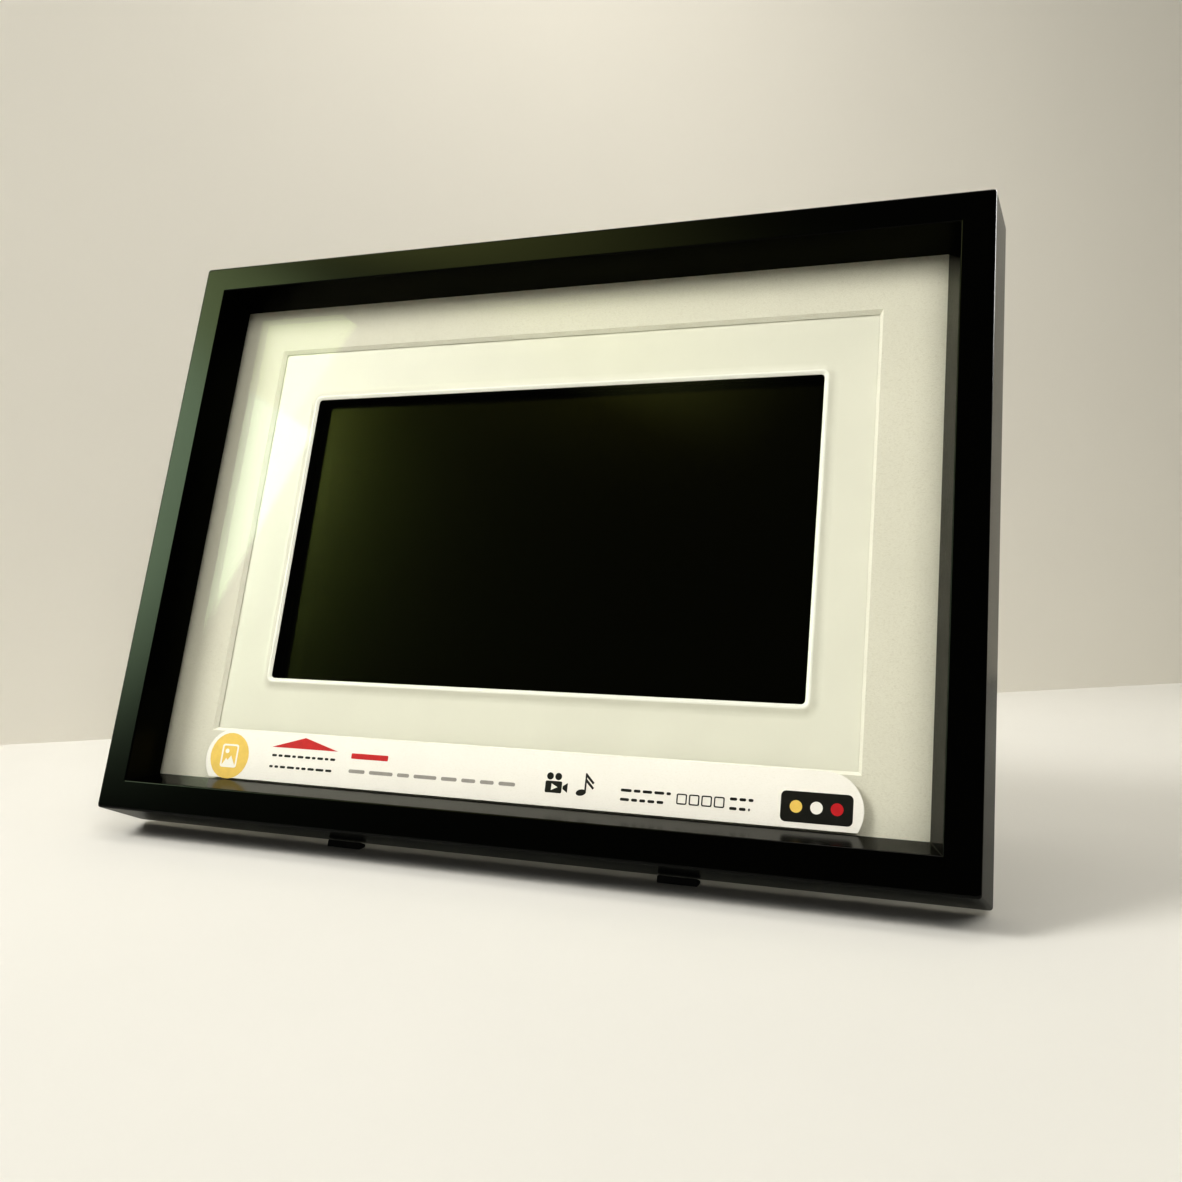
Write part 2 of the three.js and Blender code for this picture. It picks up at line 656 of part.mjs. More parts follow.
// The leg is drawn folded, hanging down from the hinge axis, and then swung open. Its heel
// stands above the axis and meets the disc when the leg is fully open, and its foot is cut
// level with the table.
function addLeg() {
  const leg = new THREE.Group();
  leg.position.set(0, HINGE_Y, HINGE_Z);
  leg.rotation.x = LEG_OPEN;
  leaning.add(leg);

  const backBottomZ = -(FRAME_H / 2 + FRAME_FLARE);
  const tableLevel = backBottomZ * Math.cos(LEAN) - FRAME_DEPTH * Math.sin(LEAN) - FOOT_DROP;
  const hingeLevel = HINGE_Z * Math.cos(LEAN) - HINGE_Y * Math.sin(LEAN);
  const rise = hingeLevel - tableLevel;
  const splay = LEG_OPEN - LEAN;
  const soleAt = (y) => -(rise + y * Math.sin(splay)) / Math.cos(splay);

  const padTop = soleAt(0) + 4.2;
  const half = LEG_T / 2;
  const outline = new THREE.Shape();
  outline.moveTo(-13.5, HEEL);
  outline.lineTo(-13.5, -7);
  outline.lineTo(-LEG_TOP_W / 2, -14);
  outline.lineTo(-LEG_FOOT_W / 2, padTop + GAP);
  outline.lineTo(LEG_FOOT_W / 2, padTop + GAP);
  outline.lineTo(LEG_TOP_W / 2, -14);
  outline.lineTo(13.5, -7);
  outline.lineTo(13.5, HEEL);
  outline.closePath();
  const plate = slab(outline, -half, half);
  const knuckle = acrossPeg(KNUCKLE_R, -13.5, 13.5, 0, 0);
  const bore = acrossPeg(PIN_R + GAP, -15, 15, 0, 0);
  const window = slab(roundedRect(14, 52, 5, 0, -74), -half - 1, half + 1);
  const geometry = carve(plate, { add: [knuckle], cut: [bore, window] });
  place('stand_leg', geometry, COVER_BLACK, leg);

  const padHalf = half + 0.6;
  const sole = [
    [-padHalf, padTop],
    [-padHalf, soleAt(-padHalf)],
    [padHalf, soleAt(padHalf)],
    [padHalf, padTop],
  ];
  place('leg_pad', profileAcross(sole, -LEG_FOOT_W / 2 + 1, LEG_FOOT_W / 2 - 1), RUBBER, leg);
}

// ---------------------------------------------------------------- feet

// Wedges under the back edge of the moulding, their soles level with the table.
function addFeet() {
  const edgeZ = (y) => -(FRAME_H / 2 + FRAME_FLARE * (y / FRAME_DEPTH));
  const tableLevel = edgeZ(FRAME_DEPTH) * Math.cos(LEAN) - FRAME_DEPTH * Math.sin(LEAN)
    - FOOT_DROP;
  const soleZ = (y) => (tableLevel + y * Math.sin(LEAN)) / Math.cos(LEAN);
  const y1 = FRAME_DEPTH - 0.4;
  const wedge = [
    [FOOT_Y0, edgeZ(FOOT_Y0) - GAP],
    [FOOT_Y0, soleZ(FOOT_Y0)],
    [y1, soleZ(y1)],
    [y1, edgeZ(y1) - GAP],
  ];
  for (const [side, x] of [['left', -FOOT_X], ['right', FOOT_X]]) {
    place(`foot_${side}`, profileAcross(wedge, x - FOOT_W / 2, x + FOOT_W / 2), RUBBER);
  }
}

// ---------------------------------------------------------------- build

addShadowBox();
addLabel();
addMat();
addSurround();
addTouchStrips();
addDisplay();
addChassis();
addMainBoard();
addSockets();
addRibbon();
addBacklightDriver();
addSpeakers();
addRearCover();
addPowerButton();
addTurnClips();
addSwivel();
addLeg();
addFeet();

// The origin is at the centre of the footprint, on the table.
part.updateMatrixWorld(true);
const bounds = new THREE.Box3().setFromObject(part, true);
const centre = bounds.getCenter(new THREE.Vector3());
leaning.position.set(-centre.x, -centre.y, -bounds.min.z);

export default part;
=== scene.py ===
import json
from math import asin, atan2, copysign, cos, pi, radians, sin, tan, tau
import random

import bmesh
import bpy
from mathutils import Matrix, Vector


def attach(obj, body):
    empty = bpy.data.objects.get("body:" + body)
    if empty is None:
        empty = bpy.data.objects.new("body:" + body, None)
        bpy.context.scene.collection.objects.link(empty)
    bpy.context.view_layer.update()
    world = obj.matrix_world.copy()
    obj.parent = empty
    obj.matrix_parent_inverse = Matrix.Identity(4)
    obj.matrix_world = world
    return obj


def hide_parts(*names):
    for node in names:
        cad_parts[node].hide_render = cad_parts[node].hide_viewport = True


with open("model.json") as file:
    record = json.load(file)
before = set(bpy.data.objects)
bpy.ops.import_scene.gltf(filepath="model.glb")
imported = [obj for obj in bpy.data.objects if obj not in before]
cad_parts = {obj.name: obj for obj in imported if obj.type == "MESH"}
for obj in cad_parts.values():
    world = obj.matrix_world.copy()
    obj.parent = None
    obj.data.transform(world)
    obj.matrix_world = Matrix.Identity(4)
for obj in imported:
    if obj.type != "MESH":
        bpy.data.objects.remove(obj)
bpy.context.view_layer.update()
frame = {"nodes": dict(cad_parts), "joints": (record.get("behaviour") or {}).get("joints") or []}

scene = bpy.context.scene
rng = random.Random(7)


def add_camera():
    data = bpy.data.cameras.new("camera")
    data.sensor_width = 36
    data.lens = 34.31
    camera = bpy.data.objects.new("camera", data)
    camera.location = (0.1429, -0.3489, 0.0970)
    camera.rotation_euler = (radians(87.534), 0, radians(20.53))
    scene.collection.objects.link(camera)
    scene.camera = camera


add_camera()

# ---- axes
# Pieces are drawn in the frame's own upright axes, in millimetres: x to the right, y from the
# front face towards the back, z up along the frame. The leg has axes of its own at its hinge.

joints = {joint["name"]: joint for joint in frame["joints"]}
nodes = frame["nodes"]


def points_in(node, matrix):
    """A CAD node's points in the axes of a matrix."""
    back = matrix.inverted()
    return [back @ v.co for v in nodes[node].data.vertices]


def frame_matrix():
    axis = Vector(joints["stand_swivel"]["axis"])
    turn = Matrix.Rotation(atan2(axis.z, axis.y), 4, "X")
    points = points_in("front_frame", turn)
    low = [min(p[i] for p in points) for i in range(3)]
    high = [max(p[i] for p in points) for i in range(3)]
    origin = ((low[0] + high[0]) / 2, low[1], (low[2] + high[2]) / 2)
    return turn @ Matrix.Translation(origin) @ Matrix.Scale(0.001, 4)


TO_ROW = frame_matrix()
HINGE = TO_ROW.inverted() @ Vector(joints["stand_tilt"]["pos_m"])
LEG_OPEN = radians(-joints["stand_tilt"]["range_deg"][0])
LEG_TO_ROW = TO_ROW @ Matrix.Translation(HINGE) @ Matrix.Rotation(LEG_OPEN, 4, "X")


class Extent:
    """A CAD node's box in the frame's own axes, or in the leg's."""

    def __init__(self, node, matrix=TO_ROW):
        points = points_in(node, matrix)
        self.x0, self.y0, self.z0 = (min(p[i] for p in points) for i in range(3))
        self.x1, self.y1, self.z1 = (max(p[i] for p in points) for i in range(3))
        self.w = self.x1 - self.x0
        self.h = self.z1 - self.z0
        self.x = (self.x0 + self.x1) / 2
        self.z = (self.z0 + self.z1) / 2


def screws(kind, count):
    return [Extent(f"{kind}_screw_{k}") for k in range(1, count + 1)]


# ---- outlines

def arc(cx, cy, radius, start, end, steps):
    angles = [start + (end - start) * k / steps for k in range(steps + 1)]
    return [(cx + radius * cos(a), cy + radius * sin(a)) for a in angles]


def rounded(w, h, r, x=0, z=0, steps=5):
    """A rectangle with round corners, anticlockwise."""
    dx, dz = w / 2 - r, h / 2 - r
    quarter = pi / 2
    corners = [(dx, dz), (-dx, dz), (-dx, -dz), (dx, -dz)]
    points = []
    for k, (cx, cz) in enumerate(corners):
        points += arc(x + cx, z + cz, r, k * quarter, (k + 1) * quarter, steps)
    return points


def circle(r, x=0, z=0, steps=32):
    return arc(x, z, r, 0, 2 * pi, steps)[:-1]


def filleted(corners, steps=4):
    """Points [u, v, radius] of a closed outline, with each corner rounded by its radius."""
    out = []
    for i, (u, v, radius) in enumerate(corners):
        here = Vector((u, v))
        if radius <= 0:
            out.append((u, v))
            continue
        before = Vector(corners[i - 1][:2]) - here
        after = Vector(corners[(i + 1) % len(corners)][:2]) - here
        before.normalize()
        after.normalize()
        half = before.angle(after) / 2
        centre = here + (before + after).normalized() * (radius / sin(half))
        first = here + before * (radius / tan(half)) - centre
        last = here + after * (radius / tan(half)) - centre
        start = atan2(first.y, first.x)
        sweep = atan2(last.y, last.x) - start
        sweep = (sweep + pi) % (2 * pi) - pi
        out += arc(centre.x, centre.y, radius, start, start + sweep, steps)
    return out


def offset(outline, distance):
    """An anticlockwise outline moved outwards."""
    moved = []
    for i, point in enumerate(outline):
        here = Vector(point)
        before = here - Vector(outline[i - 1])
        after = Vector(outline[(i + 1) % len(outline)]) - here
        n1 = Vector((before.y, -before.x)).normalized()
        n2 = Vector((after.y, -after.x)).normalized()
        moved.append(tuple(here + (n1 + n2) * (distance / (1 + n1.dot(n2)))))
    return moved


# ---- solids
# A solid is (points, faces, marks), where a mark is the number of the face's material.

def loft(loops, ring=False, mark=0, marks=None):
    """Skin over loops of equal length. A ring joins its last loop to its first."""
    n = len(loops[0])
    points = [tuple(p) for loop in loops for p in loop]
    faces, stamps = [], []
    spans = len(loops) if ring else len(loops) - 1
    for a in range(spans):
        b = (a + 1) % len(loops)
        for i in range(n):
            j = (i + 1) % n
            faces.append((a * n + i, a * n + j, b * n + j, b * n + i))
            stamps.append(marks[a] if marks else mark)
    if not ring:
        faces.append(tuple(range(n)))
        faces.append(tuple(range((len(loops) - 1) * n, len(loops) * n)))
        stamps += [marks[0] if marks else mark, marks[-1] if marks else mark]
    return points, faces, stamps


def lay(outline, depth, axis="y"):
    """An outline placed at a depth: [x, z] points along Y, or [y, z] points along X."""
    if axis == "y":
        return [(u, depth, v) for u, v in outline]
    return [(depth, u, v) for u, v in outline]


def oblong(w, h, r, y, x=0, z=0, steps=5):
    """A rectangle with round corners, placed at a depth."""
    return lay(rounded(w, h, r, x, z, steps), y)


def prism(outline, d0, d1, radius=0.3, steps=3, axis="y", mark=0):
    """An outline swept from d0 to d1, with its two rims rounded."""
    loops = []
    for depth, sign in ((d0, 1), (d1, -1)):
        rim = []
        for k in range((steps if radius else 0) + 1):
            a = pi / 2 * k / max(steps, 1)
            inset = radius * (1 - sin(a))
            rise = sign * radius * (1 - cos(a))
            rim.append(lay(offset(outline, -inset), depth + rise, axis))
        loops += rim if sign > 0 else rim[::-1]
    return loft(loops, mark=mark)


def block(x0, x1, y0, y1, z0, z1, r=0.3, mark=0):
    outline = rounded(x1 - x0, z1 - z0, max(r, 0.05), (x0 + x1) / 2, (z0 + z1) / 2, 3)
    return prism(outline, y0, y1, r, mark=mark)


def lathe(profile, x=0, z=0, sides=48, mark=0):
    """A profile of [radius, y] points turned about Y."""
    return loft([lay(circle(r, x, z, sides), y) for r, y in profile], mark=mark)


def flared(outline, y_deep, y_face, flare):
    """A cutter for a hole in a back face, with a chamfered rim."""
    return loft([
        lay(outline, y_deep),
        lay(outline, y_face - flare),
        lay(offset(outline, flare), y_face),
        lay(offset(outline, flare), y_face + 1),
    ])


def across(r, end_r, share, x0, x1, y, z, sides=32):
    """A round bar along X through [y, z]. Its radius changes in a share of it at each end."""
    return loft([lay(circle(radius, y, z, sides), x0 + (x1 - x0) * place, "x")
        for radius, place in ((end_r, 0), (r, share), (r, 1 - share), (end_r, 1))])


def object_from(name, solids):
    points, faces, stamps = [], [], []
    for p, f, m in solids:
        base = len(points)
        points += p
        faces += [tuple(base + i for i in face) for face in f]
        stamps += m
    mesh = bpy.data.meshes.new(name)
    mesh.from_pydata(points, [], faces)
    mesh.polygons.foreach_set("material_index", stamps)
    bm = bmesh.new()
    bm.from_mesh(mesh)
    bmesh.ops.remove_doubles(bm, verts=bm.verts, dist=1e-5)
    bmesh.ops.recalc_face_normals(bm, faces=bm.faces)
    bm.to_mesh(mesh)
    bm.free()
    obj = bpy.data.objects.new(name, mesh)
    scene.collection.objects.link(obj)
    return obj


def combine(solids, others, operation="DIFFERENCE", overlapping=False):
    """The solids with the others cut from them, or joined to them."""
    base = object_from("base", solids)
    tool = object_from("tool", others)
    modifier = base.modifiers.new("combine", "BOOLEAN")
    modifier.operation = operation
    modifier.solver = "EXACT"
    modifier.use_self = overlapping
    modifier.object = tool
    for _ in range(4):
        for obj in (base, tool):
            obj.data.materials.append(None)
    evaluated = base.evaluated_get(bpy.context.evaluated_depsgraph_get())
    mesh = bpy.data.meshes.new_from_object(evaluated)
    solid = (
        [tuple(v.co) for v in mesh.vertices],
        [tuple(p.vertices) for p in mesh.polygons],
        [p.material_index for p in mesh.polygons],
    )
    for obj in (base, tool):
        bpy.data.objects.remove(obj)
    bpy.data.meshes.remove(mesh)
    return solid


def refined(node, bevel, steps=2):
    """A CAD node's own shape with its hard edges rounded."""
    bm = bmesh.new()
    bm.from_mesh(nodes[node].data)
    bmesh.ops.transform(bm, matrix=TO_ROW.inverted(), verts=bm.verts)
    bmesh.ops.remove_doubles(bm, verts=bm.verts, dist=1e-3)
    bmesh.ops.dissolve_limit(bm, angle_limit=radians(2), verts=bm.verts, edges=bm.edges)
    hard = [e for e in bm.edges if e.is_manifold and e.calc_face_angle() > radians(40)]
    bmesh.ops.bevel(
        bm, geom=hard, offset=bevel, segments=steps, affect="EDGES", profile=0.5,
        clamp_overlap=True)
    bm.verts.index_update()
    solid = (
        [tuple(v.co) for v in bm.verts],
        [tuple(v.index for v in f.verts) for f in bm.faces],
        [0] * len(bm.faces),
    )
    bm.free()
    return solid


def piece(name, solids, materials, node=None, body="frame", matrix=TO_ROW):
    """A finished piece with its materials: it rides on a body and stands for the CAD node it
    replaces.
    """
    obj = object_from(name, solids)
    obj.data.transform(matrix)
    for material in materials if isinstance(materials, list) else [materials]:
        obj.data.materials.append(material)
    obj.data.polygons.foreach_set("use_smooth", [True] * len(obj.data.polygons))
    obj.data.set_sharp_from_angle(angle=radians(38))
    weighted = obj.modifiers.new("normals", "WEIGHTED_NORMAL")
    weighted.keep_sharp = True
    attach(obj, body)
    if node:
        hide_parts(node)


def same_piece(name, node, material, bevel=0.15, steps=2):
    """A piece that keeps the shape of its CAD node, with the edges rounded."""
    piece(name, [refined(node, bevel, steps)], material, node)


# ---- materials

def feed(tree, socket, value):
    """Gives an input the output of another node, or a constant."""
    if isinstance(value, bpy.types.NodeSocket):
        tree.links.new(value, socket)
    else:
        socket.default_value = value


def add_node(tree, kind, inputs=(), **settings):
    """A shader node. inputs pairs its sockets with the outputs or constants they take."""
    node = tree.nodes.new("ShaderNode" + kind)
    for key, value in settings.items():
        setattr(node, key, value)
    for socket, value in dict(inputs).items():
        feed(tree, node.inputs[socket], value)
    return node


def mixed(tree, share, first, second):
    """One shader turning into another, as the surface of its tree."""
    both = add_node(tree, "MixShader", {0: share, 1: first.outputs[0], 2: second.outputs[0]})
    feed(tree, tree.nodes["Material Output"].inputs["Surface"], both.outputs[0])


class Shader:
    """A material, with its Principled shader and the few nodes that surfaces need.

    Texture coordinates are the object's own, in metres.
    """

    def __init__(self, name, **constants):
        self.material = bpy.data.materials.new(name)
        self.material.use_nodes = True
        self.tree = self.material.node_tree
        self.surface = self.tree.nodes["Principled BSDF"]
        self.coords = self.add("TexCoord").outputs["Object"]
        for socket, value in constants.items():
            self.surface.inputs[socket.replace("_", " ")].default_value = value

    def add(self, kind, inputs=(), **settings):
        return add_node(self.tree, kind, inputs, **settings)

    def mapped(self, **change):
        return self.add("Mapping", {"Vector": self.coords, **change}).outputs["Vector"]

    def noise(self, scale, detail=3, roughness=0.55, coords=None):
        return self.add("TexNoise", {
            "Scale": scale, "Detail": detail, "Roughness": roughness,
            "Vector": coords or self.coords}).outputs["Fac"]

    def bricks(self, width, height, mortar, colours, **settings):
        """Bricks, on a face that looks along Y."""
        inputs = {
            "Vector": self.mapped(Rotation=(radians(-90), 0, 0)),
            "Scale": 1, "Brick Width": width, "Row Height": height, "Mortar Size": mortar}
        for socket, colour in zip(("Color1", "Color2", "Mortar"), colours):
            inputs[socket] = (*colour, 1)
        return self.add("TexBrick", inputs, **settings)

    def tones(self, factor, dark, light):
        ramp = self.add("ValToRGB", {"Fac": factor})
        first, second = ramp.color_ramp.elements
        first.position, second.position = 0.3, 0.7
        first.color, second.color = (*dark, 1), (*light, 1)
        return ramp.outputs["Color"]

    def span(self, factor, low, high, start=0.3, end=0.7):
        return self.add("MapRange", {
            "Value": factor, "From Min": start, "From Max": end,
            "To Min": low, "To Max": high}).outputs["Result"]

    def mix(self, factor, a, b, blend="MIX"):
        node = self.add("Mix", data_type="RGBA", blend_type=blend)
        for socket, value in ((0, factor), (6, a), (7, b)):
            feed(self.tree, node.inputs[socket], value)
        return node.outputs[2]

    def maths(self, operation, a, b):
        return self.add("Math", {0: a, 1: b}, operation=operation).outputs[0]

    def finished(self, colour, rough, height=None, strength=0.0, distance=0.0):
        """The material, with its colour, its roughness and the height of its relief fed in."""
        feed(self.tree, self.surface.inputs["Base Color"], colour)
        feed(self.tree, self.surface.inputs["Roughness"], rough)
        if height:
            bump = self.add("Bump", {"Height": height, "Strength": strength, "Distance": distance})
            feed(self.tree, self.surface.inputs["Normal"], bump.outputs["Normal"])
        return self.material


def tinted(colour, factor):
    return tuple(min(1, c * factor) for c in colour)


def simple(name, colour, rough, variation, scale, grain, relief, spread=0.05, depth=2e-5,
        **constants):
    """Colour and gloss that drift slowly, and a fine grain."""
    s = Shader(name, **constants)
    drift = s.noise(scale, 4)
    fine = s.noise(grain, 3)
    return s.finished(
        s.tones(drift, tinted(colour, 1 - variation), tinted(colour, 1 + variation)),
        s.span(s.maths("MULTIPLY", drift, fine), rough - spread, rough + spread, 0.1, 0.45),
        fine, relief, depth)


def ink(name, colour, variation):
    return simple(f"ink_{name}", colour, 0.5, variation, 500, 3500, 0.1, depth=1e-5)


def lacquer(name, **constants):
    """Black satin lacquer over a fine-grained moulding."""
    s = Shader(name, **constants)
    grain = s.noise(6500, 3, 0.5)
    return s.finished(
        s.tones(grain, (0.0004, 0.0004, 0.0003), (0.0009, 0.0009, 0.0006)),
        s.span(s.noise(30, 1), 0.19, 0.205),
        grain, 0.06, 6e-6)


def clear_sheet():
    """Polished clear acrylic: it passes light straight on and mirrors a little of it."""
    s = Shader("clear_acrylic")
    s.tree.nodes.remove(s.surface)
    through = s.add("BsdfTransparent", {"Color": (0.985, 0.99, 0.975, 1)})
    mirror = s.add("BsdfGlossy", {"Roughness": s.span(s.noise(14, 3), 0.012, 0.03)})
    slant = s.add("LayerWeight", {"Blend": 0.5})
    steep = s.maths("POWER", slant.outputs["Facing"], 5.0)
    share = s.maths("ADD", s.maths("MULTIPLY", steep, 0.98), 0.02)
    mixed(s.tree, share, through, mirror)
    return s.material


def paper(name, colour, fleck, rough=0.85, relief=0.3):
    """Board or paper: fibres, a soft mottle and a toothy surface."""
    s = Shader(name, IOR=1.4)
    fibres = s.noise(1500, 6, 0.7, s.mapped(Scale=(1, 1, 2.6)))
    mottle = s.noise(60, 3)
    base = s.tones(mottle, tinted(colour, 0.985), tinted(colour, 1.012))
    return s.finished(
        s.mix(s.span(fibres, 0, 1, 0.35, 0.5), (*fleck, 1), base),
        s.span(fibres, rough - 0.08, rough + 0.06),
        fibres, relief, 6e-5)


def moulded(name, colour, rough, texture=3200, relief=0.5):
    """Spark-eroded moulded plastic: an even, pebbled grain."""
    s = Shader(name, IOR=1.46)
    spots = s.add("TexVoronoi", {"Scale": texture, "Vector": s.coords})
    pebbles = spots.outputs["Distance"]
    drift = s.noise(45, 4)
    return s.finished(
        s.tones(drift, tinted(colour, 0.85), tinted(colour, 1.18)),
        s.span(s.maths("MULTIPLY", drift, pebbles), rough - 0.06, rough + 0.08, 0.05, 0.35),
        s.maths("ADD", pebbles, s.noise(texture * 0.6, 2)), relief, 3e-5)


def metal(name, colour, rough, along=(1, 1, 1), relief=0.1):
    """Plated steel with fine drawn lines and faint blotches in the plating."""
    s = Shader(name, Metallic=1.0)
    lines = s.noise(2600, 3, 0.5, s.mapped(Scale=along))
    blotch = s.noise(180, 5, 0.6)
    return s.finished(
        s.tones(blotch, tinted(colour, 0.86), tinted(colour, 1.06)),
        s.span(s.maths("MULTIPLY", lines, blotch), rough - 0.08, rough + 0.1, 0.1, 0.45),
        lines, relief, 1.5e-5)


def screen_panel():
    """Switched-off liquid crystal behind glass: near black, with the faint grid of its cells."""
    s = Shader("screen_panel", IOR=1.43, Specular_Tint=(0.95, 0.80, 0.22, 1))
    cells = s.bricks(0.00022, 0.00022, 0.00003, (
        (0.0008, 0.0009, 0.0005), (0.0010, 0.0010, 0.0006), (0.0004, 0.0004, 0.0003)),
        offset=0, squash=1)
    return s.finished(cells.outputs["Color"], s.span(s.noise(2600, 2), 0.18, 0.21))


def solder_mask():
    """Green solder mask over copper tracks."""
    s = Shader("solder_mask", IOR=1.5)
    tracks = s.bricks(0.011, 0.0016, 0.00018, (
        (0.008, 0.075, 0.028), (0.010, 0.085, 0.032), (0.03, 0.17, 0.06)), offset=0.5)
    drift = s.tones(s.noise(70, 4), (0.9, 0.9, 0.9), (1, 1, 1))
    return s.finished(
        s.mix(1.0, tracks.outputs["Color"], drift, "MULTIPLY"),
        s.span(s.noise(900, 3), 0.28, 0.4),
        tracks.outputs["Fac"], 0.3, 2e-5)


LACQUER = lacquer("satin_lacquer", IOR=1.3)
# A shaded copy of the satin lacquer, with a weaker, olive-tinted reflection: painted shade and a
# painted reflection tint for every face of the moulding but its front.
LACQUER_SHADED = lacquer("satin_lacquer_shaded", IOR=1.16, Specular_Tint=(1.0, 1.0, 0.4, 1))
PANE = clear_sheet()
MAT_FACE = paper("mat_face", (0.75, 0.725, 0.64), (0.66, 0.63, 0.54))
MAT_CORE = paper("mat_core", (0.90, 0.88, 0.80), (0.84, 0.80, 0.70), 0.8, 0.2)
PANEL = simple(
    "gloss_panel", (0.80, 0.785, 0.70), 0.24, 0.02, 40, 1400, 0.05, spread=0.04, IOR=1.4)
# A lit copy of the panel's gloss, whiter and more mirror-like than the panel: a painted highlight
# on the crown of the lip.
PANEL_LIP_HIGHLIGHT = simple(
    "gloss_lip_highlight", (0.97, 0.96, 0.90), 0.17, 0.01, 40, 1400, 0.05, spread=0.03, IOR=1.75)
LABEL = paper("label_paper", (0.88, 0.86, 0.78), (0.84, 0.82, 0.73), 0.5, 0.08)
INK_YELLOW = ink("yellow", (0.80, 0.56, 0.13), 0.05)
INK_RED = ink("red", (0.53, 0.012, 0.02), 0.08)
INK_DARK = ink("dark", (0.012, 0.011, 0.010), 0.25)
INK_GREY = ink("grey", (0.33, 0.31, 0.28), 0.08)
MASK_BLACK = simple(
    "screen_mask", (0.0005, 0.0005, 0.0005), 0.3, 0.2, 60, 900, 0.02, spread=0.02, depth=1e-5,
    IOR=1.15)
DIFFUSER = simple(
    "diffuser_film", (0.86, 0.86, 0.85), 0.5, 0.03, 60, 1800, 0.1, spread=0.06, depth=1e-5)
PLATED = metal("plated_steel", (0.62, 0.63, 0.64), 0.28)
DRAWN = metal("drawn_steel", (0.60, 0.61, 0.62), 0.32, (0.08, 1, 1))
SHEET_STEEL = metal("zinc_sheet", (0.64, 0.66, 0.66), 0.36, (0.12, 1, 1), 0.15)
COPPER = metal("tinned_copper", (0.80, 0.68, 0.42), 0.3)
EPOXY = simple("chip_epoxy", (0.018, 0.018, 0.019), 0.55, 0.2, 300, 4000, 0.4, spread=0.06)
CABLE = simple("flat_cable", (0.72, 0.72, 0.69), 0.5, 0.05, 120, 2200, 0.15)
AMBER = simple("polyimide", (0.42, 0.17, 0.025), 0.3, 0.12, 220, 1800, 0.08)
SOCKET = moulded("socket_plastic", (0.016, 0.016, 0.017), 0.45, 4200, 0.25)
COVER = moulded("cover_plastic", (0.016, 0.016, 0.0165), 0.5)
BUTTON = moulded("button_plastic", (0.035, 0.035, 0.037), 0.4, 4200, 0.2)
RUBBER = simple("rubber", (0.012, 0.012, 0.012), 0.82, 0.25, 300, 3000, 0.5, depth=4e-5)
NYLON = simple("nylon", (0.72, 0.69, 0.58), 0.5, 0.06, 200, 2200, 0.15, spread=0.06)
SCREEN = screen_panel()
MASK_GREEN = solder_mask()

# ---- shadow box

moulding = Extent("front_frame")
FRONT_BAND = 9.3
REVEAL_DEPTH = 11.4
REVEAL_SLOPE = 3.85
FLARE = 2.4
FRONT_W = moulding.w - 2 * FLARE
FRONT_H = moulding.h - 2 * FLARE
RABBET = 6.55


def add_moulding():
    profile = filleted([
        (0, 0, 0.8),
        (-FLARE, moulding.y1, 0.5),
        (RABBET, moulding.y1, 0.3),
        (RABBET, REVEAL_DEPTH, 0.2),
        (FRONT_BAND + REVEAL_SLOPE, REVEAL_DEPTH, 0.18),
        (FRONT_BAND, 0, 0.55),
    ])
    loops, marks = [], []
    for inset, depth in profile:
        radius = 0.9 if inset < 4 else 0.3
        loops.append(oblong(FRONT_W - 2 * inset, FRONT_H - 2 * inset, radius, depth, steps=3))
        # Every face more than 0.3 mm behind the front takes the shaded lacquer copy: painted shade
        # on the reveal, sides, back and underside.
        marks.append(int(depth > 0.3))
    body = loft(loops, ring=True, marks=marks)
    bores = [flared(circle(1.45, screw.x, screw.z, 24), 16, moulding.y1, 0.4)
        for screw in screws("clip", 4)]
    piece("moulding", [combine([body], bores)], [LACQUER, LACQUER_SHADED],
        "front_frame")


def add_pane():
    e = Extent("front_pane")
    sheet = prism(rounded(e.w, e.h, 1), e.y0, e.y1, 0.15)
    piece("pane", [sheet], PANE, "front_pane")


def add_mat():
    e = Extent("mat_board")
    window_w, window_h, window_x, window_z, bevel = 211.4, 137.0, -1.2, 0.6, 1.1

    def window(wider, depth):
        return oblong(window_w + wider, window_h + wider, 0.1, depth, window_x, window_z)

    loops = [
        oblong(e.w, e.h, 1, e.y0),
        oblong(e.w, e.h, 1, e.y1),
        window(0, e.y1),
        window(2 * bevel - 0.1, e.y0 + 0.05),
        window(2 * bevel + 0.1, e.y0),
    ]
    board = loft(loops, ring=True, marks=[1, 1, 1, 0, 0])
    piece("mat", [board], [MAT_FACE, MAT_CORE], "mat_board")


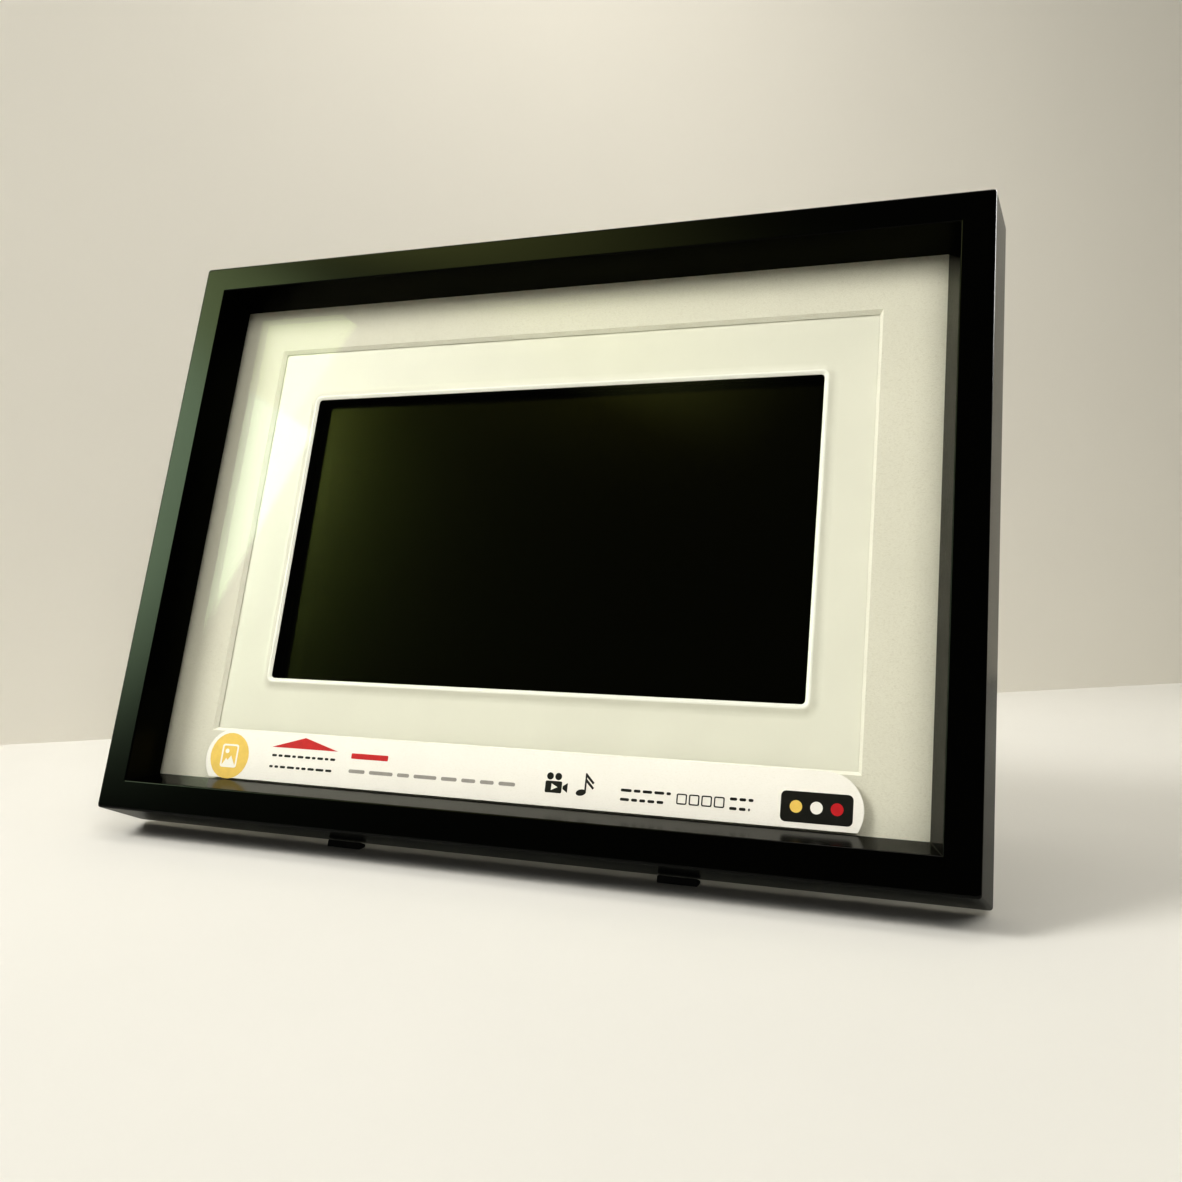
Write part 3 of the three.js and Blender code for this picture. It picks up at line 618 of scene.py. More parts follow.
def add_panel():
    e = Extent("screen_surround")
    opening_w, opening_h = 178.1, 100.4
    front, back, crest = 15.5, 17.2, e.y0
    lip = [(0, back)]
    lip += [(out, crest + drop)
        for out, drop in ((0, 0.60), (0.03, 0.50), (0.10, 0.42), (0.25, 0.34), (0.45, 0.245),
                          (0.65, 0.15), (0.80, 0.085), (0.95, 0.03), (1.10, 0))]
    lip += [(out, front + (crest - front) * rise)
        for out, rise in ((1.5, 0.93), (2.1, 0.62), (2.8, 0.28), (3.6, 0.07), (4.5, 0))]
    # The crown of the lip takes the lit copy of the gloss, a painted highlight.
    wall, crown_highlight = [1], [2] * 9
    loops = [oblong(opening_w + 2 * out, opening_h + 2 * out, 1.2 + 0.7 * out, depth)
        for out, depth in lip]
    loops += [
        oblong(e.w - 0.6, e.h - 0.6, 2.7, front),
        oblong(e.w, e.h, 3, front + 0.3),
        oblong(e.w, e.h, 3, back),
    ]
    panel = loft(loops, ring=True, marks=wall + crown_highlight + [0] * (len(loops) - 10))
    bosses, bores = [], []
    for kind, count, radius, bore, above in (
            ("cover", 6, 3.4, 1.0, 3.9), ("chassis", 4, 3.0, 0.9, 2.8)):
        for screw in screws(kind, count):
            top = screw.y1 - above
            bosses.append(lathe([(radius + 0.5, back - 0.4), (radius + 0.5, back + 0.1),
                (radius, back + 0.7), (radius, top)], screw.x, screw.z, 24))
            bores.append(lathe([(bore, back + 0.2), (bore, top + 1)], screw.x, screw.z, 16))
    solid = combine([combine([panel], bosses, "UNION")], bores)
    piece("panel", [solid], [PANEL, MASK_BLACK, PANEL_LIP_HIGHLIGHT],
        "screen_surround")


# ---- label

YELLOW, RED, DARK, GREY, WHITE = range(5)

def label_outline(e):
    """Round at both ends, cut off level with the lip below."""
    outline = []
    for x, radius, start, sweep in ((e.x1, 10.5, 0, 1), (e.x0, 9.5, pi, -1)):
        mid = e.z1 - radius
        cut = start + sweep * asin((e.z0 - mid) / radius)
        end = arc(x - copysign(radius, x), mid, radius, cut, pi / 2, 20)
        outline += end if sweep > 0 else end[::-1]
    return outline


class Print:
    """Flat ink shapes on the face of the label."""

    def __init__(self, face):
        self.face = face
        self.solids = []

    def stamp(self, outline, mark, lift=0.03):
        self.solids.append(prism(outline, self.face - lift, self.face + 0.02, 0, mark=mark))

    def ring(self, outer, inner, mark, lift=0.06):
        self.solids.append(loft([
            lay(outer, self.face + 0.02), lay(outer, self.face - lift),
            lay(inner, self.face - lift), lay(inner, self.face + 0.02)], ring=True, mark=mark))

    def bar(self, x0, x1, z0, z1, mark, r=0.3, lift=0.03):
        self.stamp(rounded(x1 - x0, z1 - z0, r, (x0 + x1) / 2, (z0 + z1) / 2, 4), mark, lift)

    def dot(self, x, z, r, mark, lift=0.03):
        self.stamp(circle(r, x, z, 28), mark, lift)

    def words(self, x0, x1, z, height, mark, lengths=(1.2, 3.0), gap=0.7):
        """A line of text stood in for by plain bars, a word long each."""
        x = x0
        while x < x1 - 0.3:
            end = min(x + rng.uniform(*lengths), x1)
            if end - x > 0.35:
                self.bar(x, end, z - height / 2, z + height / 2, mark, height / 2.3)
            x = end + gap


def print_disc(art, x, z):
    """A coloured disc with a small picture of a hill and a sun in it."""
    art.dot(x, z, 7.5, YELLOW)
    art.ring(rounded(6.4, 7.6, 0.8, x, z, 4), rounded(5.2, 6.4, 0.5, x, z, 4), WHITE)
    art.stamp([(x - 2.6, z - 3.2), (x + 2.6, z - 3.2), (x + 0.7, z + 0.1), (x - 0.5, z - 1.5),
        (x - 1.1, z - 0.8)], WHITE, 0.06)
    art.dot(x - 1.1, z + 1.5, 0.75, WHITE, 0.06)


def print_camera(art, x, z):
    """A film camera: two reels over a body, with its lens to the right."""
    art.bar(x, x + 5.2, z - 2.9, z + 0.5, DARK, 0.4)
    art.stamp([(x + 5.5, z - 1.6), (x + 7.0, z - 2.6), (x + 7.0, z + 0.2), (x + 5.5, z - 0.8)],
        DARK)
    art.stamp([(x + 1.9, z - 2.2), (x + 3.9, z - 1.2), (x + 1.9, z - 0.2)], WHITE, 0.06)
    for reel_x in (x + 1.3, x + 3.9):
        art.dot(reel_x, z + 1.9, 1.05, DARK)


def print_note(art, x, z):
    """A note with two flags."""
    art.stamp([(x + 1.5 * cos(t) + 0.4 * sin(t), z - 2.4 + 0.95 * sin(t))
        for t in (tau * k / 20 for k in range(20))], DARK)
    art.bar(x + 1.0, x + 1.5, z - 2.3, z + 3.3, DARK, 0.2, 0.035)
    for top, lift in ((z + 3.3, 0.04), (z + 1.8, 0.045)):
        art.stamp([(x + 1.3, top), (x + 1.3, top - 1.0), (x + 3.5, top - 3.1),
            (x + 3.9, top - 2.6)], DARK, lift)


def add_label():
    e = Extent("front_label")
    pane_y = Extent("front_pane").y0
    face = pane_y - 0.22
    piece("label", [prism(label_outline(e), face, pane_y - 0.02, 0.06, steps=1)], LABEL,
        "front_label")
    art = Print(face)
    # Places on the label are given in the frame's own axes.
    print_disc(art, e.x0 + 9.2, e.z1 - 8.7)
    art.stamp([(-81.5, -73.35), (-56.6, -73.35), (-69.2, -69.8)], RED)
    art.words(-81.0, -57.2, -76.0, 0.75, DARK)
    art.words(-81.4, -57.6, -79.6, 0.75, DARK)
    art.bar(-51.5, -38.3, -75.2, -73.5, RED)
    art.words(-51.7, 7.0, -79.1, 1.1, GREY, (4.0, 8.5), 1.6)
    print_camera(art, 15.3, -77.6)
    print_note(art, 26.6, -77.4)
    art.words(38.7, 53.6, -78.1, 0.8, DARK, (1.6, 3.6))
    art.words(38.7, 51.6, -80.7, 0.8, DARK, (1.6, 3.6))
    for k in range(4):
        x = 56.85 + 3.6 * k
        art.ring(rounded(3.0, 3.0, 0.5, x, -79.3), rounded(2.3, 2.3, 0.25, x, -79.3), DARK)
    art.words(70.6, 77.2, -78.1, 0.8, DARK, (1.4, 2.8))
    art.words(70.6, 76.4, -80.7, 0.8, DARK, (1.4, 2.8))
    art.bar(84.7, 104.1, -82.9, -74.6, DARK, 1.4)
    for x, mark in ((88.9, YELLOW), (94.4, WHITE), (99.9, RED)):
        art.dot(x, -78.7, 1.7, mark, 0.06)
    piece("label_print", art.solids, [INK_YELLOW, INK_RED, INK_DARK, INK_GREY, LABEL])


# ---- display

def add_display():
    e = Extent("lcd_glass")
    view_w, view_h = 178.4, 100.7
    glass = prism(rounded(e.w, e.h, 0.8), e.y0 + 0.01, e.y1, 0.1)
    border = loft([
        oblong(e.w - 0.4, e.h - 0.4, 0.6, e.y0 + 0.02),
        oblong(e.w - 0.4, e.h - 0.4, 0.6, e.y0),
        oblong(view_w, view_h, 0.2, e.y0),
        oblong(view_w, view_h, 0.2, e.y0 + 0.02),
    ], ring=True)
    cells = prism(rounded(view_w - 0.02, view_h - 0.02, 0.2), e.y0 + 0.003, e.y0 + 0.02, 0, mark=1)
    piece("screen_glass", [glass, border, cells], [MASK_BLACK, SCREEN],
        "lcd_glass")
    same_piece("display_can", "lcd_frame", SHEET_STEEL)
    same_piece("display_back", "lcd_back_plate", SHEET_STEEL)
    same_piece("light_guide_stack", "light_guide", DIFFUSER, 0.2)
    for side in ("bottom", "right"):
        same_piece(f"touch_film_{side}", f"touch_strip_{side}", AMBER, 0.05, 1)


# ---- screws

def screw_solid(e, seat, shank_r, head_r):
    """A pan-head screw with a cross recess; e is the box of its CAD node."""
    top = e.y1
    tall = top - seat
    profile = [(0.05, e.y0), (shank_r * 0.55, e.y0 + 0.7), (shank_r * 0.8, e.y0 + 1.1)]
    y = e.y0 + 1.2
    while y < seat - 0.9:
        profile += [(shank_r, y + 0.15), (shank_r, y + 0.22), (shank_r * 0.8, y + 0.5)]
        y += 0.6
    profile += [(shank_r * 0.85, seat - 0.02), (head_r * 0.96, seat), (head_r, seat + 0.08 * tall)]
    for k in range(0, 7):
        a = radians(15 * k)
        profile.append((head_r * (0.55 + 0.45 * cos(a)),
            seat + tall * (0.3 + 0.7 * sin(a))))
    body = lathe(profile, e.x, e.z, 28)
    w, arm = 0.17 * head_r, 0.56 * head_r
    cross = [(arm, w), (w, w), (w, arm), (-w, arm), (-w, w), (-arm, w), (-arm, -w), (-w, -w),
        (-w, -arm), (w, -arm), (w, -w), (arm, -w)]
    turn = radians(rng.uniform(0, 90))
    c, s = cos(turn), sin(turn)
    loops = []
    for scale, y in ((1.1, top + 0.3), (1.0, top), (0.45, top - 0.75 * tall)):
        loops.append([(e.x + scale * (u * c - v * s), y, e.z + scale * (u * s + v * c))
            for u, v in cross])
    return combine([body], [loft(loops)])


def add_screws():
    # How many, the height of the head, and the radii of the shank and the head.
    kinds = (
        ("chassis", 4, 1.4, 1.05, 2.4),
        ("board", 2, 1.3, 0.95, 2.2),
        ("cover", 6, 1.6, 1.15, 2.8),
        ("clip", 4, 1.8, 1.25, 3.1),
    )
    for kind, count, tall, shank_r, head_r in kinds:
        for k in range(1, count + 1):
            node = f"{kind}_screw_{k}"
            e = Extent(node)
            piece(f"{node}_turned", [screw_solid(e, e.y1 - tall, shank_r, head_r)], PLATED,
                node)


# ---- chassis and boards

def add_electronics():
    same_piece("chassis", "chassis_plate", SHEET_STEEL, 0.12)
    same_piece("ribbon", "display_ribbon", CABLE, 0.05, 1)
    add_board("main_board", "board", 70)
    add_board("backlight_board", "backlight_driver", 14)
    for node, pitch in (("processor_chip", 0.8), ("memory_chip", 0.8), ("flash_chip", 0.9)):
        add_chip(node, pitch)
    same_piece("switch", "power_switch", SOCKET)
    add_inductor()
    add_capacitor()
    add_transformer()
    for node in ("card_socket", "usb_socket", "mini_usb_socket"):
        same_piece(f"{node}_shell", node, PLATED, 0.1)
    same_piece("dc_jack_body", "dc_jack", SOCKET, 0.12)
    for side in ("left", "right"):
        add_speaker(side)


def add_board(node, name, count):
    e = Extent(node)
    solids = [refined(node, 0.08, 1)]
    taken = []
    clear = 2.2
    for other in ("processor_chip", "memory_chip", "flash_chip", "power_inductor",
            "filter_capacitor", "power_switch", "card_socket", "usb_socket",
            "mini_usb_socket", "dc_jack", "backlight_transformer", "board_screw_1",
            "board_screw_2"):
        o = Extent(other)
        taken.append((o.x0 - clear, o.x1 + clear, o.z0 - clear, o.z1 + clear))
    if node == "backlight_board":
        taken += [(19, 29, 50, 60), (89, 99, 50, 60)]  # round its two fixing holes
    placed = 0
    while placed < count:
        x, z = rng.uniform(e.x0 + 2, e.x1 - 2), rng.uniform(e.z0 + 2, e.z1 - 2)
        if any(a < x < b and c < z < d for a, b, c, d in taken):
            continue
        w, h = rng.choice(((1.6, 0.8), (0.8, 1.6), (2.0, 1.25), (1.25, 2.0)))
        taken.append((x - w - 0.6, x + w + 0.6, z - h - 0.6, z + h + 0.6))
        y = e.y1
        body = rng.choice((2, 3))
        solids.append(block(x - w / 2, x + w / 2, y - 0.02, y + 0.45, z - h / 2, z + h / 2, 0.06,
            mark=body))
        long, wide = max(w, h) / 2, min(w, h) / 2 + 0.04
        for low, high in ((-long - 0.12, -long + 0.25), (long - 0.25, long + 0.12)):
            box = (low, high, -wide, wide) if w > h else (-wide, wide, low, high)
            solids.append(block(x + box[0], x + box[1], y - 0.02, y + 0.5, z + box[2], z + box[3],
                0.06, mark=1))
        placed += 1
    piece(f"{name}_populated", solids, [MASK_GREEN, COPPER, EPOXY, AMBER],
        node)


def add_chip(node, pitch):
    e = Extent(node)
    body = block(e.x0 + 1, e.x1 - 1, e.y0 + 0.1, e.y1, e.z0 + 0.2, e.z1 - 0.2, 0.1)
    solids = [body, prism(circle(0.5, e.x0 + 2.2, e.z1 - 1.4, 16), e.y1 - 0.05, e.y1 + 0.02, 0)]
    legs = int((e.h - 2) / pitch)
    for k in range(legs):
        z = e.z + (k - (legs - 1) / 2) * pitch
        for side in (-1, 1):
            x = e.x0 + 1 if side < 0 else e.x1 - 1
            outline = [(0, 0.75), (0.45, 0.7), (0.6, 0.18), (1, 0.15), (1, 0), (0.5, 0),
                (0.35, 0.55), (0, 0.6)]
            points = [(x + side * u, e.y0 + v) for u, v in outline]
            solids.append(loft([[(u, v, z + half) for u, v in points]
                for half in (-pitch * 0.25, pitch * 0.25)], mark=1))
    piece(f"{node}_package", solids, [EPOXY, COPPER], node)


def add_inductor():
    e = Extent("power_inductor")
    core = prism(rounded(e.w, e.h, 2.4, e.x, e.z), e.y0, e.y1, 0.4)
    well = lathe([(2.9, e.y1 - 0.8), (2.9, e.y1 - 0.2), (3.1, e.y1 + 0.5)], e.x, e.z, 32)
    winding = lathe([(2.44, e.y1 - 0.81), (2.76, e.y1 - 0.81), (2.7, e.y1 - 0.5),
        (2.5, e.y1 - 0.5)], e.x, e.z, 32, mark=1)
    piece("inductor", [combine([core], [well]), winding], [EPOXY, COPPER],
        "power_inductor")


def add_capacitor():
    e = Extent("filter_capacitor")
    r, y0, y1 = e.w / 2, e.y0, e.y1
    can = lathe([(r * 0.97, y0), (r, y0 + 0.2), (r, y0 + 0.9), (r * 0.93, y0 + 1.15),
        (r, y0 + 1.4), (r, y1 - 0.35), (r * 0.96, y1 - 0.1), (r * 0.88, y1),
        (r * 0.82, y1 - 0.08)], e.x, e.z, 40)
    score = [block(e.x - a, e.x + a, y1 - 0.2, y1 + 0.5, e.z - b, e.z + b, 0.02)
        for a, b in ((1.6, 0.12), (0.12, 1.6))]
    piece("capacitor", [combine([can], score, overlapping=True)], PLATED,
        "filter_capacitor")


def add_transformer():
    e = Extent("backlight_transformer")
    third = e.w / 6
    solids = [block(x, x + third, e.y0, e.y1, e.z0, e.z1, mark=1)
        for x in (e.x0, e.x1 - third)]
    solids.append(
        block(e.x0 + third + 0.05, e.x1 - third - 0.05, e.y0 + 0.3, e.y1 - 0.4, e.z0 + 0.5,
              e.z1 - 0.5, 0.9))
    piece("transformer", solids, [AMBER, EPOXY], "backlight_transformer")


def add_speaker(side):
    e = Extent(f"speaker_{side}")
    basket = refined(f"speaker_{side}", 0.2)
    cone = []
    rim, cap = e.y1 - 1.0, e.y1 - 0.15
    for share, depth in ((1, rim - 0.05), (1, rim + 0.1), (0.93, rim + 0.55), (0.84, rim + 0.1),
            (0.4, rim - 0.05), (0.36, rim + 0.2), (0.2, cap - 0.25),
            (0.05, cap - 0.15)):
        w, h = 31.6 * share, 13.6 * share
        cone.append(oblong(w, h, h / 2 - 0.05, depth, e.x, e.z, 8))
    piece(f"speaker_{side}_driver", [basket, loft(cone, mark=1)], [EPOXY, RUBBER],
        f"speaker_{side}")


# ---- rear cover

BACK_Y = 38.0
FLANGE_TOP = 24.1
WALL = 2.0


def add_cover():
    e = Extent("rear_cover")
    base_w, base_h, draft = 226, 152, 3

    def box_loop(y, inset=0.0, radius=5.0):
        run = 2 * draft * (y - e.y0) / (BACK_Y - e.y0)
        return oblong(base_w - run - 2 * inset, base_h - run - 2 * inset, radius, y)

    loops = [box_loop(BACK_Y - WALL, WALL + 1.4, 2), box_loop(BACK_Y - WALL - 0.4, WALL + 0.5, 2.6),
        box_loop(BACK_Y - WALL - 1.4, WALL, 3), box_loop(e.y0 + 0.2, WALL, 3),
        box_loop(e.y0, WALL - 0.2, 3.2)]
    loops += [
        oblong(e.w - 0.6, e.h - 0.6, 2.7, e.y0),
        oblong(e.w, e.h, 3, e.y0 + 0.3),
        oblong(e.w, e.h, 3, FLANGE_TOP - 0.4),
        oblong(e.w - 0.3, e.h - 0.3, 2.85, FLANGE_TOP - 0.1),
        oblong(e.w - 0.8, e.h - 0.8, 2.6, FLANGE_TOP),
        box_loop(FLANGE_TOP, -0.9, 5.9),
        box_loop(FLANGE_TOP + 0.25, -0.25, 5.3),
        box_loop(FLANGE_TOP + 0.9, 0, 5),
    ]
    edge = 2.2
    for k in range(7):
        a = radians(15 * k)
        loops.append(box_loop(BACK_Y - edge + edge * sin(a), edge * (1 - cos(a)),
            5.0 - 0.6 * k / 6))
    shell = loft(loops)

    swivel = Extent("stand_base")
    button = Extent("power_button")
    seat_r, neck_r, button_r, vent_z = 36.9, 12, 5.3, -58
    seat, through = BACK_Y - 0.35, BACK_Y - 3.5
    cutters = [flared(circle(seat_r, swivel.x, swivel.z, 96), seat, BACK_Y, 0.3),
        flared(circle(neck_r, swivel.x, swivel.z, 64), through, seat, 0.2),
        flared(circle(button_r, button.x, button.z, 48), through, BACK_Y, 0.45)]
    for i in range(-5, 6):
        cutters.append(flared(rounded(2.2, 16, 1.05, i * 8, vent_z), through, BACK_Y, 0.3))
    for side in ("left", "right"):
        speaker = Extent(f"speaker_{side}")
        for column in range(-3, 4):
            for row in range(-1, 2):
                hole = circle(1.05, speaker.x + 4 * column, speaker.z + 4 * row, 20)
                cutters.append(flared(hole, through, BACK_Y, 0.25))
    for screw in screws("cover", 6):
        cutters.append(flared(circle(1.6, screw.x, screw.z, 24), e.y0 - 1, FLANGE_TOP, 0.3))
    for node, side_y, side_z, r in (("card_socket", 0.2, 0.4, 1), ("usb_socket", 0.2, 0.3, 0.8),
            ("mini_usb_socket", 0.4, 0.4, 1), ("dc_jack", -0.4, -1.2, 2.7)):
        s = Extent(node)
        w, h = s.y1 - s.y0 + 2 * side_y, s.h + 2 * side_z
        hole = rounded(w, h, min(r, w / 2 - 0.1), (s.y0 + s.y1) / 2, s.z, 5)
        wall_x = -(base_w / 2 - draft * (s.y0 + 3 - e.y0) / (BACK_Y - e.y0))
        cutters.append(loft([
            lay(offset(hole, 0.9), wall_x - 2, "x"),
            lay(offset(hole, 0.5), wall_x, "x"),
            lay(hole, wall_x + 0.5, "x"),
            lay(hole, s.x0 - 0.25, "x"),
        ]))
    solid = combine([shell], cutters)
    piece("cover", [solid], COVER, "rear_cover")


def add_button():
    e = Extent("power_button")
    top = e.y1
    collar = 34.7
    profile = [(1.5, e.y0), (1.6, e.y0 + 0.15), (1.6, collar), (6.3, collar + 0.02),
        (6.4, collar + 0.1), (6.4, collar + 0.9), (6.3, collar + 1), (5.0, collar + 1.02),
        (5.0, top - 0.5), (4.85, top - 0.15), (4.55, top), (4.2, top - 0.05),
        (3.2, top - 0.3), (1.6, top - 0.42), (0.1, top - 0.45)]
    cap = lathe(profile, e.x, e.z, 56)
    dish = top - 0.38
    section = ((1.95, dish - 0.1), (1.95, dish + 0.12), (1.65, dish + 0.12), (1.65, dish - 0.1))
    sign = loft([[(e.x + r * cos(a), y, e.z + r * sin(a)) for r, y in section]
        for a in (radians(120 + 300 * k / 36) for k in range(37))], mark=1)
    bar = block(e.x - 0.16, e.x + 0.16, dish - 0.12, dish + 0.1, e.z + 0.7, e.z + 2.3, 0.05, mark=1)
    piece("button", [cap, sign, bar], [BUTTON, NYLON], "power_button",
        "power_button")


def add_clips():
    for k in range(1, 5):
        node = f"turn_clip_{k}"
        e = Extent(node)
        screw = Extent(f"clip_screw_{k}")
        radius = e.h / 2
        blade = prism(rounded(e.w, e.h, radius - 0.05, e.x, e.z, 10), e.y0, e.y1, 0.3)
        inner = e.x0 + radius if screw.x > e.x else e.x1 - radius
        dimple = lathe([(1.9, e.y1 - 0.55), (1.9, e.y1 - 0.5), (2.3, e.y1 + 0.02),
            (2.4, e.y1 + 0.4)], inner, e.z, 28)
        hole = lathe([(2.0, e.y0 - 0.5), (2.0, e.y0), (1.6, e.y0 + 0.25), (1.6, e.y1 - 0.25),
            (2.0, e.y1), (2.0, e.y1 + 0.5)], screw.x, screw.z, 28)
        solid = combine([blade], [hole, dimple])
        piece(f"{node}_blade", [solid], PLATED, node, node)


# ---- stand

PIN_R = 1.5
KNUCKLE_R = 4.2


def add_swivel():
    e = Extent("stand_base")
    stem, neck, rim = 6, 11.7, 36
    z = e.z0 + rim
    face, top, step = BACK_Y + 0.3, BACK_Y + 3.3, BACK_Y - 2.3
    profile = [(stem - 0.4, e.y0), (stem, e.y0 + 0.4), (stem, step), (neck - 0.2, step + 0.02),
        (neck, step + 0.2), (neck, face), (rim - 0.5, face + 0.01), (rim, face + 0.5),
        (rim, top - 0.8), (rim - 0.2, top - 0.3), (rim - 0.7, top), (32.2, top),
        (32.0, top - 0.35), (30.9, top - 0.35), (30.7, top), (0.1, top)]
    disc = lathe(profile, 0, z, 120)
    lugs = []
    for x0, x1 in ((-19.5, -13.8), (13.8, 19.5)):
        web = [(top - 0.5, HINGE.z + 6.4), (top - 0.5, HINGE.z - 9.5), (top + 0.1, HINGE.z - 9.4),
            (top + 0.6, HINGE.z - 8.2), (top + 1.6, HINGE.z - 6.2)]
        web += arc(HINGE.y, HINGE.z, KNUCKLE_R, radians(-125), radians(100), 22)
        web += [(top + 1.4, HINGE.z + 5.0), (top + 0.3, HINGE.z + 6.2)]
        lugs.append(prism(web, x0, x1, 0.4, axis="x"))
    body = combine([disc], lugs, "UNION", overlapping=True)
    bore = across(PIN_R + 0.3, PIN_R + 0.6, 0.02, -19.6, 19.6, HINGE.y, HINGE.z)
    scallops = [lathe([(4.2, top - 1.4), (6.2, top - 0.5), (7.2, top + 0.4)], x, z - 12, 40)
        for x in (-24.5, 24.5)]
    solid = combine([body], [bore] + scallops, overlapping=True)
    piece("stand_disc", [solid], COVER, "stand_base", "stand_base")

    p = Extent("hinge_pin")
    pin = across(PIN_R, PIN_R - 0.3, 0.008, p.x0, p.x1, HINGE.y, HINGE.z, 28)
    piece("pin", [pin], DRAWN, "hinge_pin", "stand_base")
    for node, bore_r, name, material, slot in (
            ("friction_washer", 12.1, "washer", NYLON, "nylon"),
            ("retaining_ring", 6.3, "retainer", PLATED, "steel")):
        w = Extent(node)
        r, bevel = w.w / 2, 0.12
        loops = [(bore_r, w.y0), (bore_r, w.y1), (r - bevel, w.y1), (r, w.y1 - bevel),
            (r, w.y0 + bevel), (r - bevel, w.y0)]
        solid = loft([lay(circle(radius, w.x, w.z, 64), y) for radius, y in loops], ring=True)
        piece(name, [solid], material, node, "stand_base")


def add_leg():
    e = Extent("stand_leg", LEG_TO_ROW)
    half, heel, foot = 2.5, e.z1, e.z0
    neck, hip, hip_z, sole = 13.5, 23, -14, 16
    outline = filleted([
        (-neck, heel, 1.2), (-neck, -7, 1.5), (-hip, hip_z, 4), (-sole, foot, 1),
        (sole, foot, 1), (hip, hip_z, 4), (neck, -7, 1.5), (neck, heel, 1.2),
    ], 5)
    plate = prism(outline, -half, half, 0.7, 4)
    knuckle = across(KNUCKLE_R, KNUCKLE_R - 0.4, 0.015, -neck, neck, 0, 0)
    body = combine([plate], [knuckle], "UNION")
    bore = across(PIN_R + 0.3, PIN_R + 0.3, 0.02, -15, 15, 0, 0)
    hole = rounded(14, 52, 5, 0, -74)
    window = loft([lay(offset(hole, wider), depth) for wider, depth in (
        (1.2, -half - 0.5), (0.6, -half), (0, -half + 0.7),
        (0, half - 0.7), (0.6, half), (1.2, half + 0.5))])
    pockets = []

    def width_at(z):
        return hip + (sole - hip) * (z - hip_z) / (foot - hip_z)

    ribs, edge, trim = 4, 3.2, 0.65
    for z_low, z_high in ((foot + 5, -105), (-44, -17)):
        for k in range(ribs):
            corners = []
            for z, ends in ((z_low, (0, 1)), (z_high, (1, 0))):
                for end in ends:
                    share = -1 + 2 * (k + end) / ribs
                    x = share * (width_at(z) - edge) + trim * (1 - 2 * end)
                    corners.append((x, z, 0.8))
            shape = filleted(corners, 3)
            for sign in (-1, 1):
                pockets.append(loft([lay(offset(shape, wider), sign * (half + rise))
                    for wider, rise in ((0, -0.9), (0, -0.35), (0.35, 0),
                                        (0.35, 0.5))]))
    solid = combine([body], [bore, window] + pockets)
    piece("leg", [solid], COVER, "stand_leg", "stand_leg", LEG_TO_ROW)

    p = Extent("leg_pad", LEG_TO_ROW)
    points = points_in("leg_pad", LEG_TO_ROW)
    front_sole = min(q.z for q in points if q.y < 0)
    back_sole = min(q.z for q in points if q.y > 0)
    outline = filleted([(p.y0, p.z1, 0.5), (p.y0, front_sole, 0.5), (p.y1, back_sole, 0.5),
        (p.y1, p.z1, 0.5)], 3)
    pad = prism(outline, p.x0, p.x1, 0.5, axis="x")
    grooves = []
    for k in range(-4, 5):
        x = k * 3.2
        grooves.append(loft([
            [(x + dx, y, front_sole + (back_sole - front_sole) * (y - p.y0) / (p.y1 - p.y0) + dz)
             for dx, dz in ((-0.5, -0.6), (0.5, -0.6), (0.5, 0.1), (0.25, 0.5), (-0.25, 0.5),
                            (-0.5, 0.1))]
            for y in (p.y0 - 1, p.y1 + 1)]))
    piece("pad", [combine([pad], grooves)], RUBBER, "leg_pad", "stand_leg",
        LEG_TO_ROW)


def add_feet():
    for side in ("left", "right"):
        same_piece(f"foot_{side}_rubber", f"foot_{side}", RUBBER, 0.25)


# ---- stage and light

def add_plane(name, corners, material):
    mesh = bpy.data.meshes.new(name)
    mesh.from_pydata(corners, [], [(0, 1, 2, 3)])
    obj = bpy.data.objects.new(name, mesh)
    obj.data.materials.append(material)
    scene.collection.objects.link(obj)
    return obj


def one_sided(material, unmirrored=0.0):
    """Lets the views from behind and from below look through the wall and the table.

    unmirrored is the share of it that polished surfaces don't mirror.
    """
    tree = material.node_tree
    glossy = add_node(tree, "LightPath").outputs["Is Glossy Ray"]
    behind = add_node(tree, "NewGeometry").outputs["Backfacing"]
    share = add_node(tree, "Math", {0: glossy, 1: unmirrored, 2: behind}, operation="MULTIPLY_ADD")
    clear = add_node(tree, "BsdfTransparent")
    mixed(tree, share.outputs[0], tree.nodes["Principled BSDF"], clear)


def add_stage():
    table = simple("table_top", (0.76, 0.75, 0.705), 0.8, 0.015, 6, 500, 0.05,
        Specular_IOR_Level=0)
    plaster = simple("plaster", (0.80, 0.775, 0.70), 0.9, 0.012, 5, 300, 0.1, spread=0.03,
        depth=1e-4, Specular_IOR_Level=0)
    one_sided(table, 0.5)
    one_sided(plaster)
    add_plane("table", [(-3, -3, 0), (3, -3, 0), (3, 3, 0), (-3, 3, 0)], table)
    # The foot of the wall runs through two points on the table.
    left, right = Vector((-0.3106, 0.054, 0)), Vector((0.2535, 0.52, 0))
    beyond = (right - left).normalized() * 3
    left, right, up = left - beyond, right + beyond, Vector((0, 0, 3))
    add_plane("wall", [left, right, right + up, left + up], plaster)


def towards(azimuth, elevation):
    """The direction at an azimuth, left of the frame's front, and an elevation, in degrees."""
    a, e = radians(azimuth), radians(elevation)
    return Vector((-sin(a) * cos(e), -cos(a) * cos(e), sin(e)))


AIM = Vector((0, 0, 0.1))
GLOW_DISTANCE = 1.3
ROOM_LIGHT = 0.31


